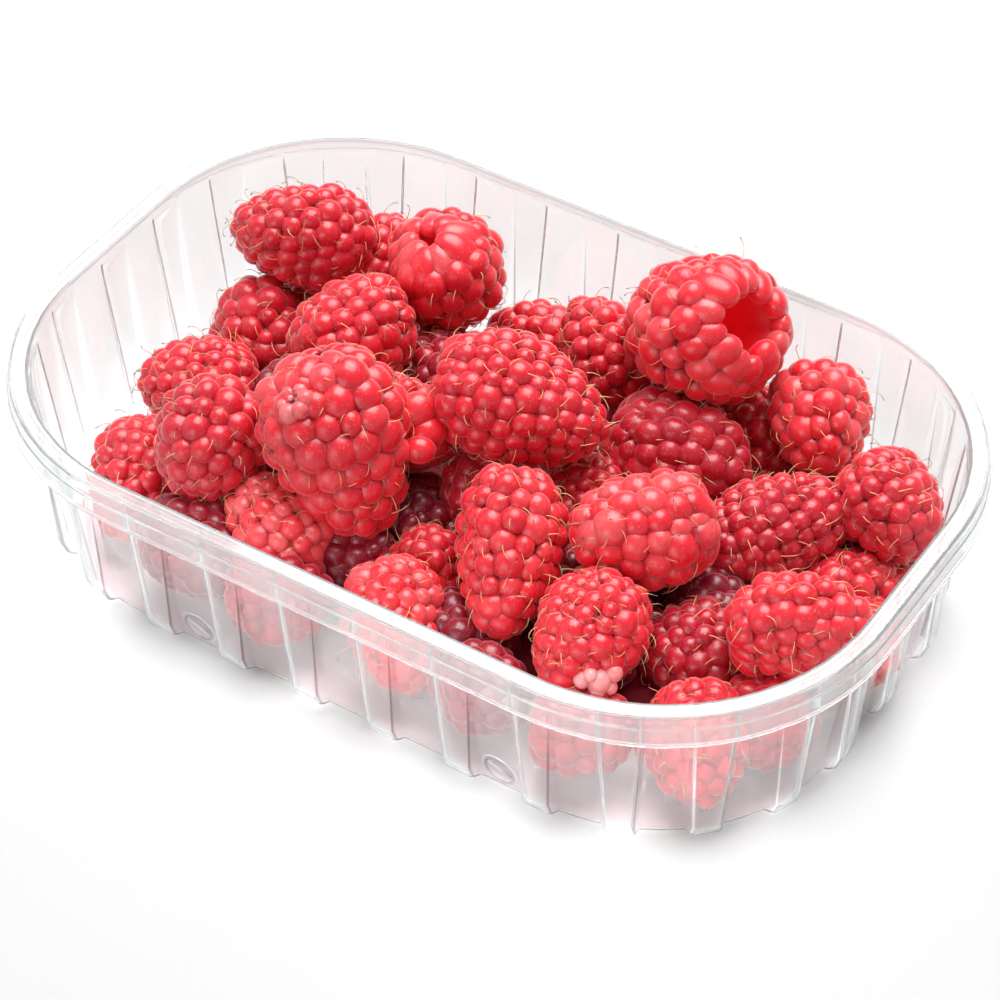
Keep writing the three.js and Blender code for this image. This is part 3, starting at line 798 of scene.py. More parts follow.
class BerryForm:
    """The outer surface of one berry, in its own frame and in the tray's."""

    def __init__(self, berry, number):
        self.berry = berry
        self.random = np.random.default_rng(BERRY_SEED + number)
        compass, rise = (math.radians(a) for a in berry.tip)
        self.axis = np.array((
            math.cos(compass) * math.cos(rise), math.sin(compass) * math.cos(rise), math.sin(rise)
        ))
        level = np.cross(self.axis, (0, 0, 1) if abs(self.axis[2]) < 0.9 else (1, 0, 0))
        self.side = level / np.linalg.norm(level)
        self.other = np.cross(self.axis, self.side)
        self.middle = np.array(berry.at, float)
        self.oval = self.random.uniform(0.02, 0.06)
        self.oval_turn = self.random.uniform(0, 2 * math.pi)
        self.lobe = self.random.uniform(0.015, 0.035)
        self.lobe_turn = self.random.uniform(0, 2 * math.pi)
        self.bend = self.random.uniform(0.0, 0.06) * berry.long
        self.bend_turn = self.random.uniform(0, 2 * math.pi)
        shares = np.linspace(0, 1, 240) ** 1.5
        self.radii = girth(berry, shares) * berry.wide / 2
        self.depths = shares * berry.long
        steps = np.hypot(np.diff(self.radii), np.diff(self.depths))
        self.arc = np.concatenate(((0,), np.cumsum(steps)))
        facing = math.radians(berry.faces)
        faces = np.array((math.cos(facing), math.sin(facing), 0))
        self.slant_turn = math.atan2(faces @ self.other, faces @ self.side)

    def rim_arc(self, turn):
        """Where the rim of the hollow lies, as an arc length from the stem end."""
        return self.berry.slant * (1 + np.cos(turn - self.slant_turn)) / 2

    def place(self, radius, depth, turn):
        """A point of the tray's frame, from a radius, a depth from the stem end and a turn."""
        share = depth / self.berry.long
        uneven = 1 + self.oval * math.cos(2 * turn + self.oval_turn)
        uneven += self.lobe * math.cos(3 * turn + self.lobe_turn + 4 * share)
        r = radius * uneven
        bow = self.bend * (4 * (share - 0.5) ** 2 - 0.5)
        a = r * math.cos(turn) + bow * math.cos(self.bend_turn)
        b = r * math.sin(turn) + bow * math.sin(self.bend_turn)
        along = depth - self.berry.long / 2
        return self.middle + a * self.side + b * self.other + along * self.axis

    def at_arc(self, arc):
        """Radius, depth and outward normal (out, along) at an arc length from the stem end."""
        radius = np.interp(arc, self.arc, self.radii)
        depth = np.interp(arc, self.arc, self.depths)
        small = 0.02 * self.arc[-1]
        low, high = max(arc - small, 0), min(arc + small, self.arc[-1])
        dr = np.interp(high, self.arc, self.radii) - np.interp(low, self.arc, self.radii)
        dz = np.interp(high, self.arc, self.depths) - np.interp(low, self.arc, self.depths)
        size = math.hypot(dr, dz)
        return radius, depth, dz / size, -dr / size


Drupelets = namedtuple("Drupelets", "points turns sizes tones normals downs")


def no_drupelets():
    """Drupelets with none in them yet."""
    return Drupelets([], [], [], [], [], [])


def set_down(found, centre, normal, down, size, tone, tilt=None):
    """Adds one drupelet that faces along a normal and is stretched along a direction."""
    basis = Matrix((np.cross(down, normal), down, normal)).transposed()
    found.points.append(centre)
    found.turns.append((basis @ tilt if tilt else basis).to_euler())
    found.sizes.append(size)
    found.tones.append(tone)
    found.normals.append(normal)
    found.downs.append(down)


def settle(form, arcs, turns, wants, fixed):
    """Moves drupelets apart over the berry until each has the room it wants."""
    length = form.arc[-1]
    for _ in range(SETTLE_ROUNDS):
        radii = np.interp(arcs, form.arc, form.radii)
        depths = np.interp(arcs, form.arc, form.depths)
        spots = np.stack((radii * np.cos(turns), radii * np.sin(turns), depths), 1)
        gaps = spots[:, None] - spots[None]
        apart = np.linalg.norm(gaps, axis=2) + np.eye(len(arcs)) * 99
        room = (wants[:, None] + wants[None]) / 2
        push = np.clip(room - apart, 0, None) / apart
        move = 0.35 * (gaps * push[:, :, None]).sum(1)
        round_way = np.stack((-np.sin(turns), np.cos(turns), 0 * turns), 1)
        slope = np.gradient(form.radii, form.arc + np.arange(len(form.arc)) * 1e-9)
        outward = np.interp(arcs, form.arc, slope)
        down_way = np.stack((outward * np.cos(turns), outward * np.sin(turns),
                             np.sqrt(np.clip(1 - outward ** 2, 0, 1))), 1)
        turns = turns + (move * round_way).sum(1) / np.maximum(radii, 0.3 * wants)
        arcs = np.where(fixed, arcs, np.clip(arcs + (move * down_way).sum(1), 0, length))
    return arcs, turns


def plant(form, lobes):
    """Where a berry's drupelets sit: rings from the stem end to the tip, moved apart a little.
    Those round a wide hollow are seen from both sides, and go with the lobes."""
    berry, random = form.berry, form.random
    found = no_drupelets()
    pitch = berry.drupelet
    length = form.arc[-1]
    rows = max(4, round((length - 0.3 * pitch) / (ROW_SPACING * pitch)))
    spacing = (length - FIRST_ROW * pitch) / rows
    arcs, turns, firsts = [], [], []
    for row in range(rows):
        arc = FIRST_ROW * pitch + row * spacing
        radius = np.interp(arc + (berry.slant / 2 if row == 0 else 0), form.arc, form.radii)
        narrow = 0.84 + 0.25 * berry.fold if row == 0 else 0.98
        count = max(1, round(2 * math.pi * radius / (narrow * pitch)))
        start = random.uniform(0, 2 * math.pi)
        for k in range(count):
            turn = start + 2 * math.pi * (k + random.uniform(-0.2, 0.2)) / count
            here = arc + (random.uniform(-0.25, 0.25) * spacing if row else form.rim_arc(turn))
            if row and here < form.rim_arc(turn) + 0.7 * pitch:
                continue
            turns.append(turn)
            arcs.append(here)
            firsts.append(row == 0)
    arcs.append(length)
    turns.append(0.0)
    firsts.append(False)
    firsts = np.array(firsts)
    wants = pitch * random.uniform(0.82, 1.18, len(arcs)) * np.where(firsts, 0.86, 1.0)
    arcs, turns = settle(form, np.array(arcs), np.array(turns), wants, firsts)
    for arc, turn, want, first in zip(arcs, turns, wants, firsts):
        radius, depth, out, along = form.at_arc(arc)
        level = math.cos(turn) * form.side + math.sin(turn) * form.other
        normal = out * level + along * form.axis
        down = out * form.axis - along * level
        width, stretch = HALF_WIDTH * want, HALF_WIDTH * random.uniform(0.94, 1.12) * want
        centre = form.place(radius, depth, turn) - FOOT_DEPTH * want * normal
        if first:
            stretch *= 1.5 + 0.3 * berry.fold
            inward = berry.fold * random.uniform(0, 0.5) * radius
            centre += 0.25 * pitch * down - inward * level - 0.3 * inward * form.axis
            width *= 1.08 + 0.1 * berry.fold
        lean = Matrix.Rotation(random.uniform(-0.26, 0.08), 3, "X")
        roll = Matrix.Rotation(random.uniform(-0.2, 0.2), 3, "Y")
        size = (width * random.uniform(0.94, 1.08), stretch, random.uniform(*HEIGHTS) * want)
        tone = berry.tone + random.uniform(-0.14, 0.14)
        if first and berry.mouth > WIDE_MOUTH:
            full = (size[0], stretch, LOBE_HEIGHT * want)
            lower = centre - 0.1 * want * normal
            set_down(lobes, lower, normal, down, full, tone - 0.1, lean @ roll)
        else:
            set_down(found, centre, normal, down, size, tone, lean @ roll)
    return found


def add_odd_drupelets(forms, lobes):
    """Adds the odd drupelets, each facing away from the middle of its berry."""
    random = np.random.default_rng(BERRY_SEED)
    for number, offset, radius, tone in ODD_DRUPELETS:
        normal = np.array(offset) / np.linalg.norm(offset)
        down = np.cross(normal, random.normal(size=3))
        down /= np.linalg.norm(down)
        centre = forms[number].middle + np.array(offset) - 0.5 * radius * normal
        set_down(lobes, centre, normal, down, (radius, radius, 1.15 * radius), tone)


def drupelet_mesh():
    """The outer half of a ball of radius 1, made from a cube whose sides are cut into a grid, and
    closed by one flat face underneath. Each point's height is kept, for the painted shade low down
    between drupelets."""
    ball = bmesh.new()
    bmesh.ops.create_cube(ball, size=2)
    bmesh.ops.subdivide_edges(ball, edges=ball.edges, cuts=DRUPELET_CUTS, use_grid_fill=True)
    for vert in ball.verts:
        x, y, z = (math.tan(c * math.pi / 4) for c in vert.co)
        vert.co = Vector((x, y, z)).normalized()
    low = [v for v in ball.verts if v.co.z < -0.01]
    bmesh.ops.delete(ball, geom=low, context="VERTS")
    bmesh.ops.holes_fill(ball, edges=ball.edges)
    bmesh.ops.recalc_face_normals(ball, faces=ball.faces)
    mesh = bpy.data.meshes.new("drupelet")
    ball.to_mesh(mesh)
    ball.free()
    smooth(mesh)
    add_attribute(mesh, "height", "FLOAT", [v.co.z for v in mesh.vertices])
    return mesh


def lobe_mesh():
    """A whole ball of radius 1, for a drupelet that is seen from all sides. Its height is low only
    where it meets its neighbours, so that the painted shade between drupelets falls there."""
    ball = bmesh.new()
    bmesh.ops.create_icosphere(ball, subdivisions=LOBE_SUBDIVISIONS, radius=1)
    mesh = bpy.data.meshes.new("lobe")
    ball.to_mesh(mesh)
    ball.free()
    smooth(mesh)
    heights = [0.3 + 0.7 * math.sqrt(max(0, 1 - v.co.x ** 2)) for v in mesh.vertices]
    add_attribute(mesh, "height", "FLOAT", heights)
    return mesh


def body_rings(form):
    """The rings of a berry's body: down inside the hollow, over the rim and round to the tip.
    Each is (radius, depth, inside), where inside is 1 in the hollow and 0 outside."""
    berry = form.berry
    mouth = berry.mouth * berry.wide / 2
    sunk = 0.37 * berry.drupelet
    deep = HOLLOW_DEPTH * berry.long
    rings = [(0.0, deep, 1.0), (0.45 * mouth, deep * 0.97, 1.0), (0.7 * mouth, deep * 0.8, 1.0)]
    rings += [(0.85 * mouth, deep * 0.5, 1.0), (mouth, deep * 0.22, 0.8)]
    crest = form.radii[0]
    rings += [((mouth + crest) / 2, sunk * 1.5, 0.5), (crest, sunk * 1.8, 0.0)]
    for arc in np.linspace(0, form.arc[-1], 12)[1:-1]:
        radius, depth, out, along = form.at_arc(arc)
        rings.append((max(radius - sunk * out, 0.3), depth - sunk * along, 0.0))
    rings.append((0.0, berry.long - sunk, 0.0))
    return rings


def bodies_mesh(forms):
    """The bodies under the drupelets, all in one mesh."""
    sides = BODY_SIDES
    points, faces, inside = [], [], []
    for form in forms:
        rings = body_rings(form)
        first = len(points)
        for radius, depth, hollow in rings:
            for k in range(sides):
                turn = 2 * math.pi * k / sides
                ridge = 1 + 0.05 * hollow * (-1) ** k
                rim_radius, rim_depth = form.at_arc(form.rim_arc(turn))[:2]
                if form.berry.slant and depth < rim_depth + 0.6 * form.berry.drupelet:
                    points.append(form.place(
                        min(radius, rim_radius - 0.4 * form.berry.drupelet) * ridge,
                        rim_depth + 0.6 * form.berry.drupelet, turn,
                    ))
                else:
                    points.append(form.place(radius * ridge, depth, turn))
                inside.append(hollow)
        for ring in range(len(rings) - 1):
            for k in range(sides):
                a = first + ring * sides + k
                b = first + ring * sides + (k + 1) % sides
                faces.append((a, a + sides, b + sides, b))
    mesh = mesh_of("berry_bodies", points, faces)
    add_attribute(mesh, "inside", "FLOAT", inside)
    joined = bmesh.new()
    joined.from_mesh(mesh)
    bmesh.ops.remove_doubles(joined, verts=joined.verts, dist=0.001 * MM)
    bmesh.ops.recalc_face_normals(joined, faces=joined.faces)
    joined.to_mesh(mesh)
    joined.free()
    smooth(mesh)
    return mesh


def hairs_mesh(plantings):
    """One curled hair on most drupelets, as chains of edges with a taper and a place along."""
    random = np.random.default_rng(BERRY_SEED)
    points, edges, taper, along = [], [], [], []
    steps = HAIR_STEPS
    for found in plantings:
        places = zip(found.points, found.sizes, found.normals, found.downs)
        for centre, size, normal, down in places:
            if random.random() > HAIR_SHARE:
                continue
            side = np.cross(down, normal) * random.uniform(-1, 1)
            lean = down * random.uniform(0.3, 1.0) + side
            lean /= np.linalg.norm(lean)
            start_angle = random.uniform(0.2, 1.0)
            root = math.cos(start_angle) * normal * size[2] + math.sin(start_angle) * lean * size[0]
            spot = centre + 0.97 * root
            swing = np.cross(normal, lean) * random.uniform(-1.0, 1.0)
            heading = normal * random.uniform(0.3, 1.1) + lean * random.uniform(0.2, 0.7) + swing
            heading /= np.linalg.norm(heading)
            curl_axis = np.cross(heading, -normal) + normal * random.uniform(-0.9, 0.9)
            curl_axis /= np.linalg.norm(curl_axis)
            length = random.uniform(*HAIR_LENGTHS)
            curl = random.uniform(*HAIR_CURLS) / steps
            first = len(points)
            for k in range(steps + 1):
                points.append(spot)
                taper.append(1.0 - 0.45 * k / steps if k < steps else 1.1)
                along.append(k / steps)
                if k:
                    edges.append((first + k - 1, first + k))
                turn = Matrix.Rotation(curl * (1.6 if k > steps / 2 else 0.6), 3, Vector(curl_axis))
                heading = np.array(turn @ Vector(heading))
                spot = spot + heading * length / steps
                spot[2] = min(max(spot[2], FLOOR_TOP), HEAP_TOP)
    mesh = mesh_of("berry_hairs", points, (), edges)
    add_attribute(mesh, "taper", "FLOAT", taper)
    add_attribute(mesh, "along", "FLOAT", along)
    return mesh


def core_mesh():
    """The hidden middle of the heap, a flattened block with lumps on it."""
    ball = bmesh.new()
    bmesh.ops.create_icosphere(ball, subdivisions=CORE_SUBDIVISIONS, radius=1)
    for vert in ball.verts:
        co = [math.copysign(abs(c) ** CORE_SQUARENESS, c) * h for c, h in zip(vert.co, CORE_HALF)]
        lump = CORE_LUMP * math.sin(CORE_LUMP_RATE * co[0]) * math.sin(CORE_LUMP_RATE * co[1])
        vert.co = Vector((co[0], co[1], co[2] + CORE_MIDDLE + lump)) * MM
    mesh = bpy.data.meshes.new("heap_core")
    ball.to_mesh(mesh)
    ball.free()
    smooth(mesh)
    return mesh


# ---------------------------------------------------------------- materials

def new_material(name):
    """A material with its Principled BSDF and output."""
    material = bpy.data.materials.new(name)
    material.use_nodes = True
    tree = material.node_tree
    return material, tree, tree.nodes["Principled BSDF"]


def speckle_group():
    """Soft patches, fine grain and small dots, each from 0 to 1."""
    tree = new_tree(
        "Speckle", "ShaderNodeTree",
        [
            ("Patch Scale", "NodeSocketFloat", 150.0),
            ("Grain Scale", "NodeSocketFloat", 2500.0),
            ("Dot Scale", "NodeSocketFloat", 1800.0),
        ],
        [
            ("Patches", "NodeSocketFloat", None),
            ("Grain", "NodeSocketFloat", None),
            ("Dots", "NodeSocketFloat", None),
        ],
    )
    group_in = tree.nodes.new("NodeGroupInput")
    where = tree.nodes.new("ShaderNodeTexCoord")
    patches = add_node(
        tree, "ShaderNodeTexNoise", Vector=where.outputs["Object"],
        Scale=group_in.outputs["Patch Scale"], Detail=2.0,
    )
    grain = add_node(
        tree, "ShaderNodeTexNoise", Vector=where.outputs["Object"],
        Scale=group_in.outputs["Grain Scale"], Detail=3.0,
    )
    cells = add_node(
        tree, "ShaderNodeTexVoronoi", Vector=where.outputs["Object"],
        Scale=group_in.outputs["Dot Scale"],
    )
    dots = add_node(
        tree, "ShaderNodeMapRange", i0=cells.outputs["Distance"], i1=0.12, i2=0.24, i3=1.0, i4=0.0
    )
    add_node(
        tree, "NodeGroupOutput", Patches=patches.outputs["Fac"], Grain=grain.outputs["Fac"],
        Dots=dots.outputs[0],
    )
    return tree


def mixed(tree, factor, first, second):
    """A colour between two, by a factor; each is a colour or an output."""
    node = tree.nodes.new("ShaderNodeMix")
    node.data_type = "RGBA"
    sockets = [s for s in node.inputs if s.enabled]
    for socket, value in zip(sockets, (factor, first, second)):
        if isinstance(value, bpy.types.NodeSocket):
            tree.links.new(value, socket)
        else:
            socket.default_value = value
    return next(s for s in node.outputs if s.enabled)


def ranged(tree, value, low, high, to_low=0.0, to_high=1.0):
    """A value taken from one range to another and kept inside it."""
    node = add_node(tree, "ShaderNodeMapRange", i0=value, i1=low, i2=high, i3=to_low, i4=to_high)
    return node.outputs[0]


def named(tree, name):
    """The value of one of the mesh's attributes."""
    return add_node(tree, "ShaderNodeAttribute", {"attribute_name": name}).outputs["Fac"]


def placed(tree, group, **values):
    """A node that holds a node group, with its inputs set: patch_scale sets Patch Scale."""
    node = tree.nodes.new("ShaderNodeGroup")
    node.node_tree = group
    for name, value in values.items():
        node.inputs[name.replace("_", " ").title()].default_value = value
    return node


def juicy(shader, weight, depth):
    """Lets light into the flesh, down to a depth in millimetres."""
    shader.inputs["Subsurface Weight"].default_value = weight
    shader.inputs["Subsurface Radius"].default_value = JUICE_DEPTH
    shader.inputs["Subsurface Scale"].default_value = depth * MM


def roughened(tree, shader, height, strength, depth):
    """Bump from a height, to a depth in millimetres."""
    bump = add_node(tree, "ShaderNodeBump", Height=height, Strength=strength)
    bump.inputs["Distance"].default_value = depth * MM
    tree.links.new(bump.outputs[0], shader.inputs["Normal"])


def drupelet_material(settings, speckle):
    """Glossy red skin: painted shade makes it darker low down between drupelets and on berries deep
    in the heap, a painted sheen makes it paler at the edge as the camera sees it, and it is paler
    in dry places.
    """
    material, tree, shader = new_material("drupelet skin")
    spots = placed(tree, speckle, patch_scale=160.0, grain_scale=2600.0)
    tone = add_node(
        tree, "ShaderNodeMath", {"operation": "MULTIPLY_ADD"},
        i0=spots.outputs["Patches"], i1=0.45, i2=named(tree, "tone"),
    )
    depth = ranged(tree, tone.outputs[0], 0.2, 1.2)
    ripe = mixed(tree, depth, (*settings.bright, 1), (*settings.dark, 1))
    # Past a tone of 1.2 the colour goes on into painted shade, for berries deep in the heap.
    deep_shaded = mixed(tree, ranged(tree, tone.outputs[0], 1.2, 1.9), ripe, DEEP_SHADE_RED)
    flesh = mixed(tree, ranged(tree, tone.outputs[0], 0.25, -0.8), deep_shaded, (*settings.pale, 1))
    height = named(tree, "height")
    # Painted shade: darker low down on each drupelet, where it meets its neighbours.
    shaded = mixed(tree, ranged(tree, height, 0.25, 0.66, 0.85, 0.0), flesh, CREVICE_SHADE_RED)
    bloom = ranged(tree, spots.outputs["Grain"], 0.4, 0.75, 0.0, 0.03)
    dusty = mixed(tree, bloom, shaded, (*settings.pale, 1))
    dots = ranged(tree, spots.outputs["Dots"], 0, 1, 0, 0.30)
    dotted = mixed(tree, dots, dusty, DOT_PINK)
    # Painted sheen: paler towards the edge of each drupelet as the camera sees it.
    facing = tree.nodes.new("ShaderNodeLayerWeight")
    facing.inputs["Blend"].default_value = 0.5
    edge = ranged(tree, facing.outputs["Facing"], 0.50, 0.97, 0.0, 0.60)
    sheen_rimmed = mixed(tree, edge, dotted, (*settings.pale, 1))
    tree.links.new(sheen_rimmed, shader.inputs["Base Color"])
    rough = ranged(tree, spots.outputs["Patches"], 0.3, 0.7, 0.26, 0.38)
    tree.links.new(rough, shader.inputs["Roughness"])
    shader.inputs["Specular IOR Level"].default_value = 0.75
    juicy(shader, 0.25, 1.2)
    shader.inputs["Sheen Weight"].default_value = 0.12
    shader.inputs["Sheen Roughness"].default_value = 0.2
    shader.inputs["Sheen Tint"].default_value = (1.0, 0.80, 0.80, 1)
    roughened(tree, shader, spots.outputs["Grain"], 0.12, 0.1)
    return material


def body_material(settings, speckle):
    """Flesh under the drupelets, painted dark as the shade in the gaps between them, and the bright
    inside of the hollow, with a painted glow for the light that comes through it.
    """
    material, tree, shader = new_material("berry flesh")
    spots = placed(tree, speckle)
    colour = mixed(tree, named(tree, "inside"), BODY_SHADE_RED, HOLLOW_RED)
    patches = ranged(tree, spots.outputs["Patches"], 0.4, 0.8, 0, 0.3)
    mottled = mixed(tree, patches, colour, (*settings.dark, 1))
    tree.links.new(mottled, shader.inputs["Base Color"])
    # Painted glow inside the hollow, for light that comes through the flesh.
    painted_lit = ranged(tree, named(tree, "inside"), 0.3, 1.0)
    tree.links.new(mixed(tree, painted_lit, BLACK, HOLLOW_GLOW), shader.inputs["Emission Color"])
    shader.inputs["Emission Strength"].default_value = 1.0
    shader.inputs["Roughness"].default_value = 0.45
    juicy(shader, 0.2, 1.5)
    roughened(tree, shader, spots.outputs["Patches"], 0.4, 0.3)
    return material


def core_material(speckle):
    """Dark red painted shade, for the hidden middle of the heap."""
    material, tree, shader = new_material("heap shade")
    spots = placed(tree, speckle)
    colour = mixed(tree, spots.outputs["Patches"], *CORE_SHADE_REDS)
    tree.links.new(colour, shader.inputs["Base Color"])
    shader.inputs["Roughness"].default_value = 0.6
    shader.inputs["Specular IOR Level"].default_value = 0.15
    return material


def hair_material(settings):
    """Straw-coloured hair with a dark tip."""
    material, tree, shader = new_material("hair")
    tip = ranged(tree, named(tree, "along"), 0.5, 0.9)
    colour = mixed(tree, tip, (*settings.hair, 1), HAIR_TIP)
    tree.links.new(colour, shader.inputs["Base Color"])
    shader.inputs["Roughness"].default_value = 0.5
    return material


def plastic_material(settings, speckle):
    """Clear plastic with a faint haze and a faint painted glow, where the bends of the sheet have
    thin painted dark and highlight lines and the floor has a pink tint and glow painted as red
    bounce light. Shadow rays pass it, so that the heap isn't darkened."""
    material, tree, shader = new_material("clear plastic")
    output = tree.nodes["Material Output"]
    spots = placed(tree, speckle, patch_scale=60.0)
    # Painted dark lines and painted highlight lines along the bends of the sheet.
    dark = ranged(tree, named(tree, "crease"), 0.35, 1.0)
    light = ranged(tree, named(tree, "glint"), 0.5, 0.9)
    # A pink tint on the tray's floor: painted red bounce light from the berries.
    clean = mixed(tree, named(tree, "floor"), (*settings.tint, 1), (*settings.red_bounce, 1))
    tinted = mixed(tree, dark, clean, BEND_SHADE)
    painted_lit = mixed(tree, light, tinted, WHITE)
    tree.links.new(painted_lit, shader.inputs["Base Color"])
    # Painted glow: faint all over the plastic, pinkish on the floor as bounce light, and brightest
    # on the painted highlight lines.
    painted_glow = mixed(tree, named(tree, "floor"), PLASTIC_GLOW, FLOOR_BOUNCE_GLOW)
    tree.links.new(mixed(tree, light, painted_glow, GLINT_GLOW), shader.inputs["Emission Color"])
    shader.inputs["Emission Strength"].default_value = 1.0
    shader.inputs["IOR"].default_value = 1.5
    shader.inputs["Transmission Weight"].default_value = 0.88
    rough = ranged(tree, spots.outputs["Patches"], 0.3, 0.7, 0.03, 0.08)
    tree.links.new(rough, shader.inputs["Roughness"])
    clear = tree.nodes.new("ShaderNodeBsdfTransparent")
    clear.inputs["Color"].default_value = (0.97, 0.97, 0.97, 1)
    path = tree.nodes.new("ShaderNodeLightPath")
    mix = tree.nodes.new("ShaderNodeMixShader")
    tree.links.new(path.outputs["Is Shadow Ray"], mix.inputs[0])
    tree.links.new(shader.outputs[0], mix.inputs[1])
    tree.links.new(clear.outputs[0], mix.inputs[2])
    tree.links.new(mix.outputs[0], output.inputs["Surface"])
    return material


def floor_material(settings):
    """Matt white."""
    material, tree, shader = new_material("white floor")
    shader.inputs["Base Color"].default_value = (*settings.floor_colour, 1)
    shader.inputs["Roughness"].default_value = 0.6
    shader.inputs["Specular IOR Level"].default_value = 0.2
    return material


# ---------------------------------------------------------------- operators

def speckle_tree():
    """The speckle group, made once."""
    return bpy.data.node_groups.get("Speckle") or speckle_group()


class PUNNET_OT_stage(bpy.types.Operator):
    """Makes the white floor, the soft light and the camera"""

    bl_idname = "punnet.stage"
    bl_label = "Make Stage"

    def execute(self, context):
        settings = context.scene.punnet_stage
        half = settings.floor_size / 2
        corners = [(-half, -half, 0), (half, -half, 0), (half, half, 0), (-half, half, 0)]
        mesh = bpy.data.meshes.new("floor")
        mesh.from_pydata(corners, [], [(0, 1, 2, 3)])
        floor = new_object("floor", mesh)
        mesh.materials.append(floor_material(settings))
        for softbox in SOFTBOXES:
            self.light(*softbox)
        self.world(context)
        self.camera(context)
        context.scene.view_settings.view_transform = "Standard"
        return {"FINISHED"}

    def light(self, name, place, size, power):
        """A square area light that faces the origin."""
        lamp = bpy.data.lights.new(name, "AREA")
        lamp.shape = "SQUARE"
        lamp.size = size
        lamp.energy = power
        softbox = new_object(name, lamp)
        softbox.location = place
        softbox.rotation_euler = (-Vector(place)).to_track_quat("-Z", "Y").to_euler()

    def world(self, context):
        """An even white surround."""
        world = bpy.data.worlds.new("studio")
        world.use_nodes = True
        background = world.node_tree.nodes["Background"]
        background.inputs["Color"].default_value = WHITE
        background.inputs["Strength"].default_value = WORLD_LIGHT
        context.scene.world = world

    def camera(self, context):
        """The camera, turned and placed by the named angles and distance."""
        lens = bpy.data.cameras.new("camera")
        lens.lens = CAMERA_LENS
        lens.sensor_width = CAMERA_SENSOR
        lens.clip_start = CAMERA_NEAR
        camera = new_object("camera", lens)
        back = Vector((
            math.sin(CAMERA_AZIMUTH) * math.cos(CAMERA_ELEVATION),
            -math.cos(CAMERA_AZIMUTH) * math.cos(CAMERA_ELEVATION),
            math.sin(CAMERA_ELEVATION),
        ))
        right = Vector((math.cos(CAMERA_AZIMUTH), math.sin(CAMERA_AZIMUTH), 0))
        up = back.cross(right)
        basis = Matrix((right, up, back)).transposed()
        turn = basis.to_4x4() @ Matrix.Rotation(CAMERA_ROLL, 4, "Z")
        camera.matrix_world = Matrix.Translation(CAMERA_TARGET + CAMERA_DISTANCE * back) @ turn
        context.scene.camera = camera


class PUNNET_OT_tray(bpy.types.Operator):
    """Makes the clear tray with its ribs, rim, skirt and lugs"""

    bl_idname = "punnet.tray"
    bl_label = "Make Tray"

    def execute(self, context):
        settings = context.scene.punnet_tray
        tray = make_tray(settings)
        tray.data.materials.clear()
        tray.data.materials.append(plastic_material(settings, speckle_tree()))
        keep(tray, PLASTIC_SLOT, "tray")
        return {"FINISHED"}


class PUNNET_OT_core(bpy.types.Operator):
    """Makes the hidden middle of the heap"""

    bl_idname = "punnet.core"
    bl_label = "Make Heap Core"

    def execute(self, context):
        core = new_object("heap_core", core_mesh())
        core.data.materials.append(core_material(speckle_tree()))
        keep(core, BERRY_SLOT, HEAP_NODE)
        return {"FINISHED"}


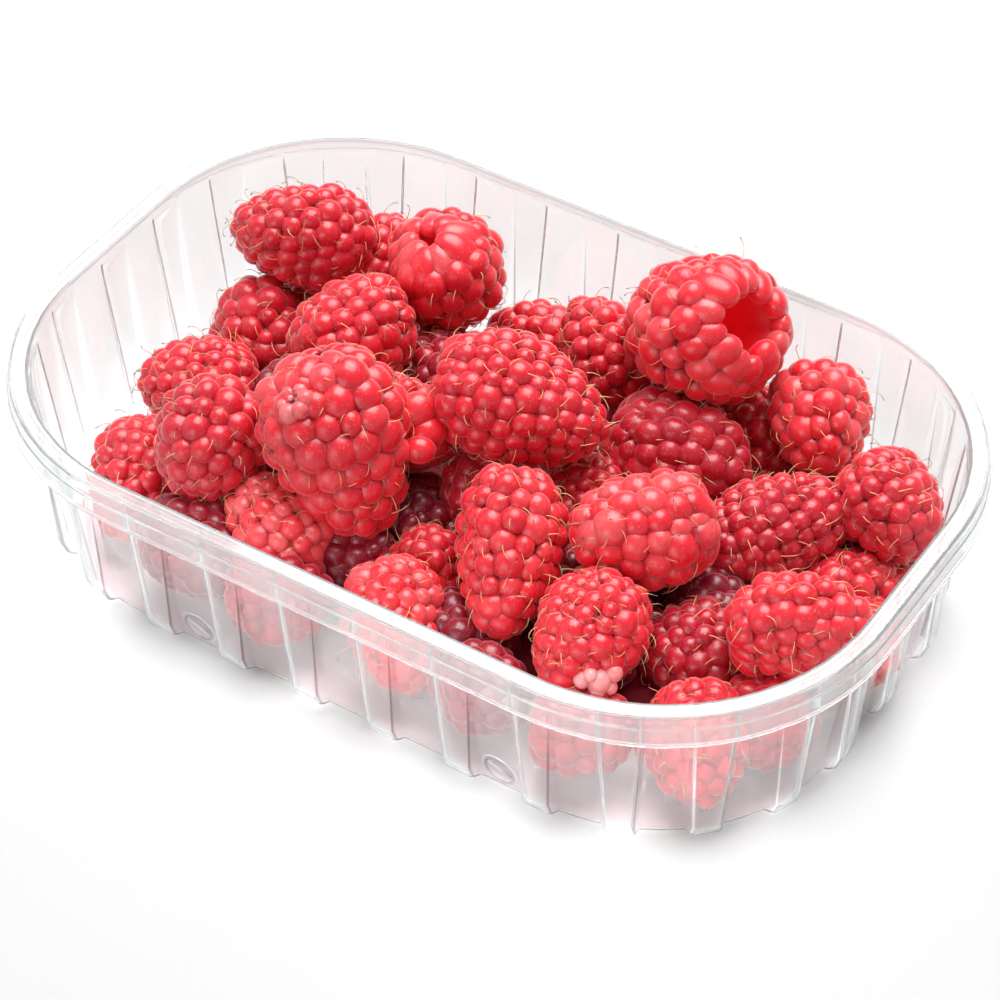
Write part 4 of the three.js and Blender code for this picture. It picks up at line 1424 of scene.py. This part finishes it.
class PUNNET_OT_berries(bpy.types.Operator):
    """Makes the berries: their bodies, drupelets and hairs"""

    bl_idname = "punnet.berries"
    bl_label = "Make Berries"

    def execute(self, context):
        settings = context.scene.punnet_berries
        forms = [BerryForm(b, n) for n, b in enumerate(TOP_BERRIES + LOW_BERRIES)]
        lobes = no_drupelets()
        plantings = [plant(form, lobes) for form in forms]
        add_odd_drupelets(forms, lobes)
        bodies = new_object("berry_bodies", bodies_mesh(forms))
        bodies.data.materials.append(body_material(settings, speckle_tree()))
        keep(bodies, BERRY_SLOT, HEAP_NODE)
        skin = drupelet_material(settings, speckle_tree())
        half = len(TOP_BERRIES) // 2
        layers = [
            ("drupelets_left", plantings[:half], drupelet_mesh()),
            ("drupelets_right", plantings[half:len(TOP_BERRIES)], drupelet_mesh()),
            ("drupelets_below", plantings[len(TOP_BERRIES):], drupelet_mesh()),
            ("drupelet_lobes", [lobes], lobe_mesh()),
        ]
        tree = plant_drupelets_tree()
        for name, group, shape in layers:
            self.layer(name, group, shape, tree, skin, settings)
        hairs = new_object("berry_hairs", hairs_mesh(plantings[:len(TOP_BERRIES)]))
        grow(
            hairs, grow_hairs_tree(),
            Thickness=settings.hair_thickness, Sides=HAIR_SIDES, Material=hair_material(settings),
        )
        smooth(hairs.data)
        keep(hairs, BERRY_SLOT)
        return {"FINISHED"}

    def layer(self, name, plantings, shape_mesh, tree, skin, settings):
        """Plants the drupelets of some berries as one piece."""
        points = [p for found in plantings for p in found.points]
        mesh = mesh_of(name, points)
        turns = [tuple(t) for found in plantings for t in found.turns]
        sizes = [np.array(s) * MM for found in plantings for s in found.sizes]
        add_attribute(mesh, "turn", "FLOAT_VECTOR", turns)
        add_attribute(mesh, "size", "FLOAT_VECTOR", sizes)
        add_attribute(mesh, "tone", "FLOAT", [t for found in plantings for t in found.tones])
        shape = new_object("drupelet", shape_mesh)
        piece = new_object(name, mesh)
        grow(
            piece, tree, Drupelet=shape, Plumpness=settings.plumpness,
            Unevenness=settings.unevenness, Seed=BERRY_SEED, Material=skin,
        )
        bpy.data.objects.remove(shape)
        smooth(piece.data)
        keep(piece, BERRY_SLOT, HEAP_NODE)


class PUNNET_PT_panel(bpy.types.Panel):
    """Lists the pieces of the punnet"""

    bl_idname = "PUNNET_PT_panel"
    bl_label = "Punnet of Raspberries"
    bl_space_type = "VIEW_3D"
    bl_region_type = "UI"
    bl_category = "Punnet"

    def draw(self, context):
        scene = context.scene
        for settings in (scene.punnet_tray, scene.punnet_berries, scene.punnet_stage):
            box = self.layout.box()
            for name in settings.__annotations__:
                box.prop(settings, name)
        for operator in PIECES:
            self.layout.operator(operator.bl_idname)


PIECES = (PUNNET_OT_stage, PUNNET_OT_tray, PUNNET_OT_core, PUNNET_OT_berries)
CLASSES = (TraySettings, BerrySettings, StageSettings, *PIECES, PUNNET_PT_panel)


def register():
    for cls in CLASSES:
        bpy.utils.register_class(cls)
    bpy.types.Scene.punnet_tray = bpy.props.PointerProperty(type=TraySettings)
    bpy.types.Scene.punnet_berries = bpy.props.PointerProperty(type=BerrySettings)
    bpy.types.Scene.punnet_stage = bpy.props.PointerProperty(type=StageSettings)


def unregister():
    del bpy.types.Scene.punnet_stage
    del bpy.types.Scene.punnet_berries
    del bpy.types.Scene.punnet_tray
    for cls in reversed(CLASSES):
        bpy.utils.unregister_class(cls)


def main():
    register()
    bpy.ops.punnet.stage()
    bpy.ops.punnet.tray()
    bpy.ops.punnet.core()
    bpy.ops.punnet.berries()


if __name__ == "__main__":
    main()
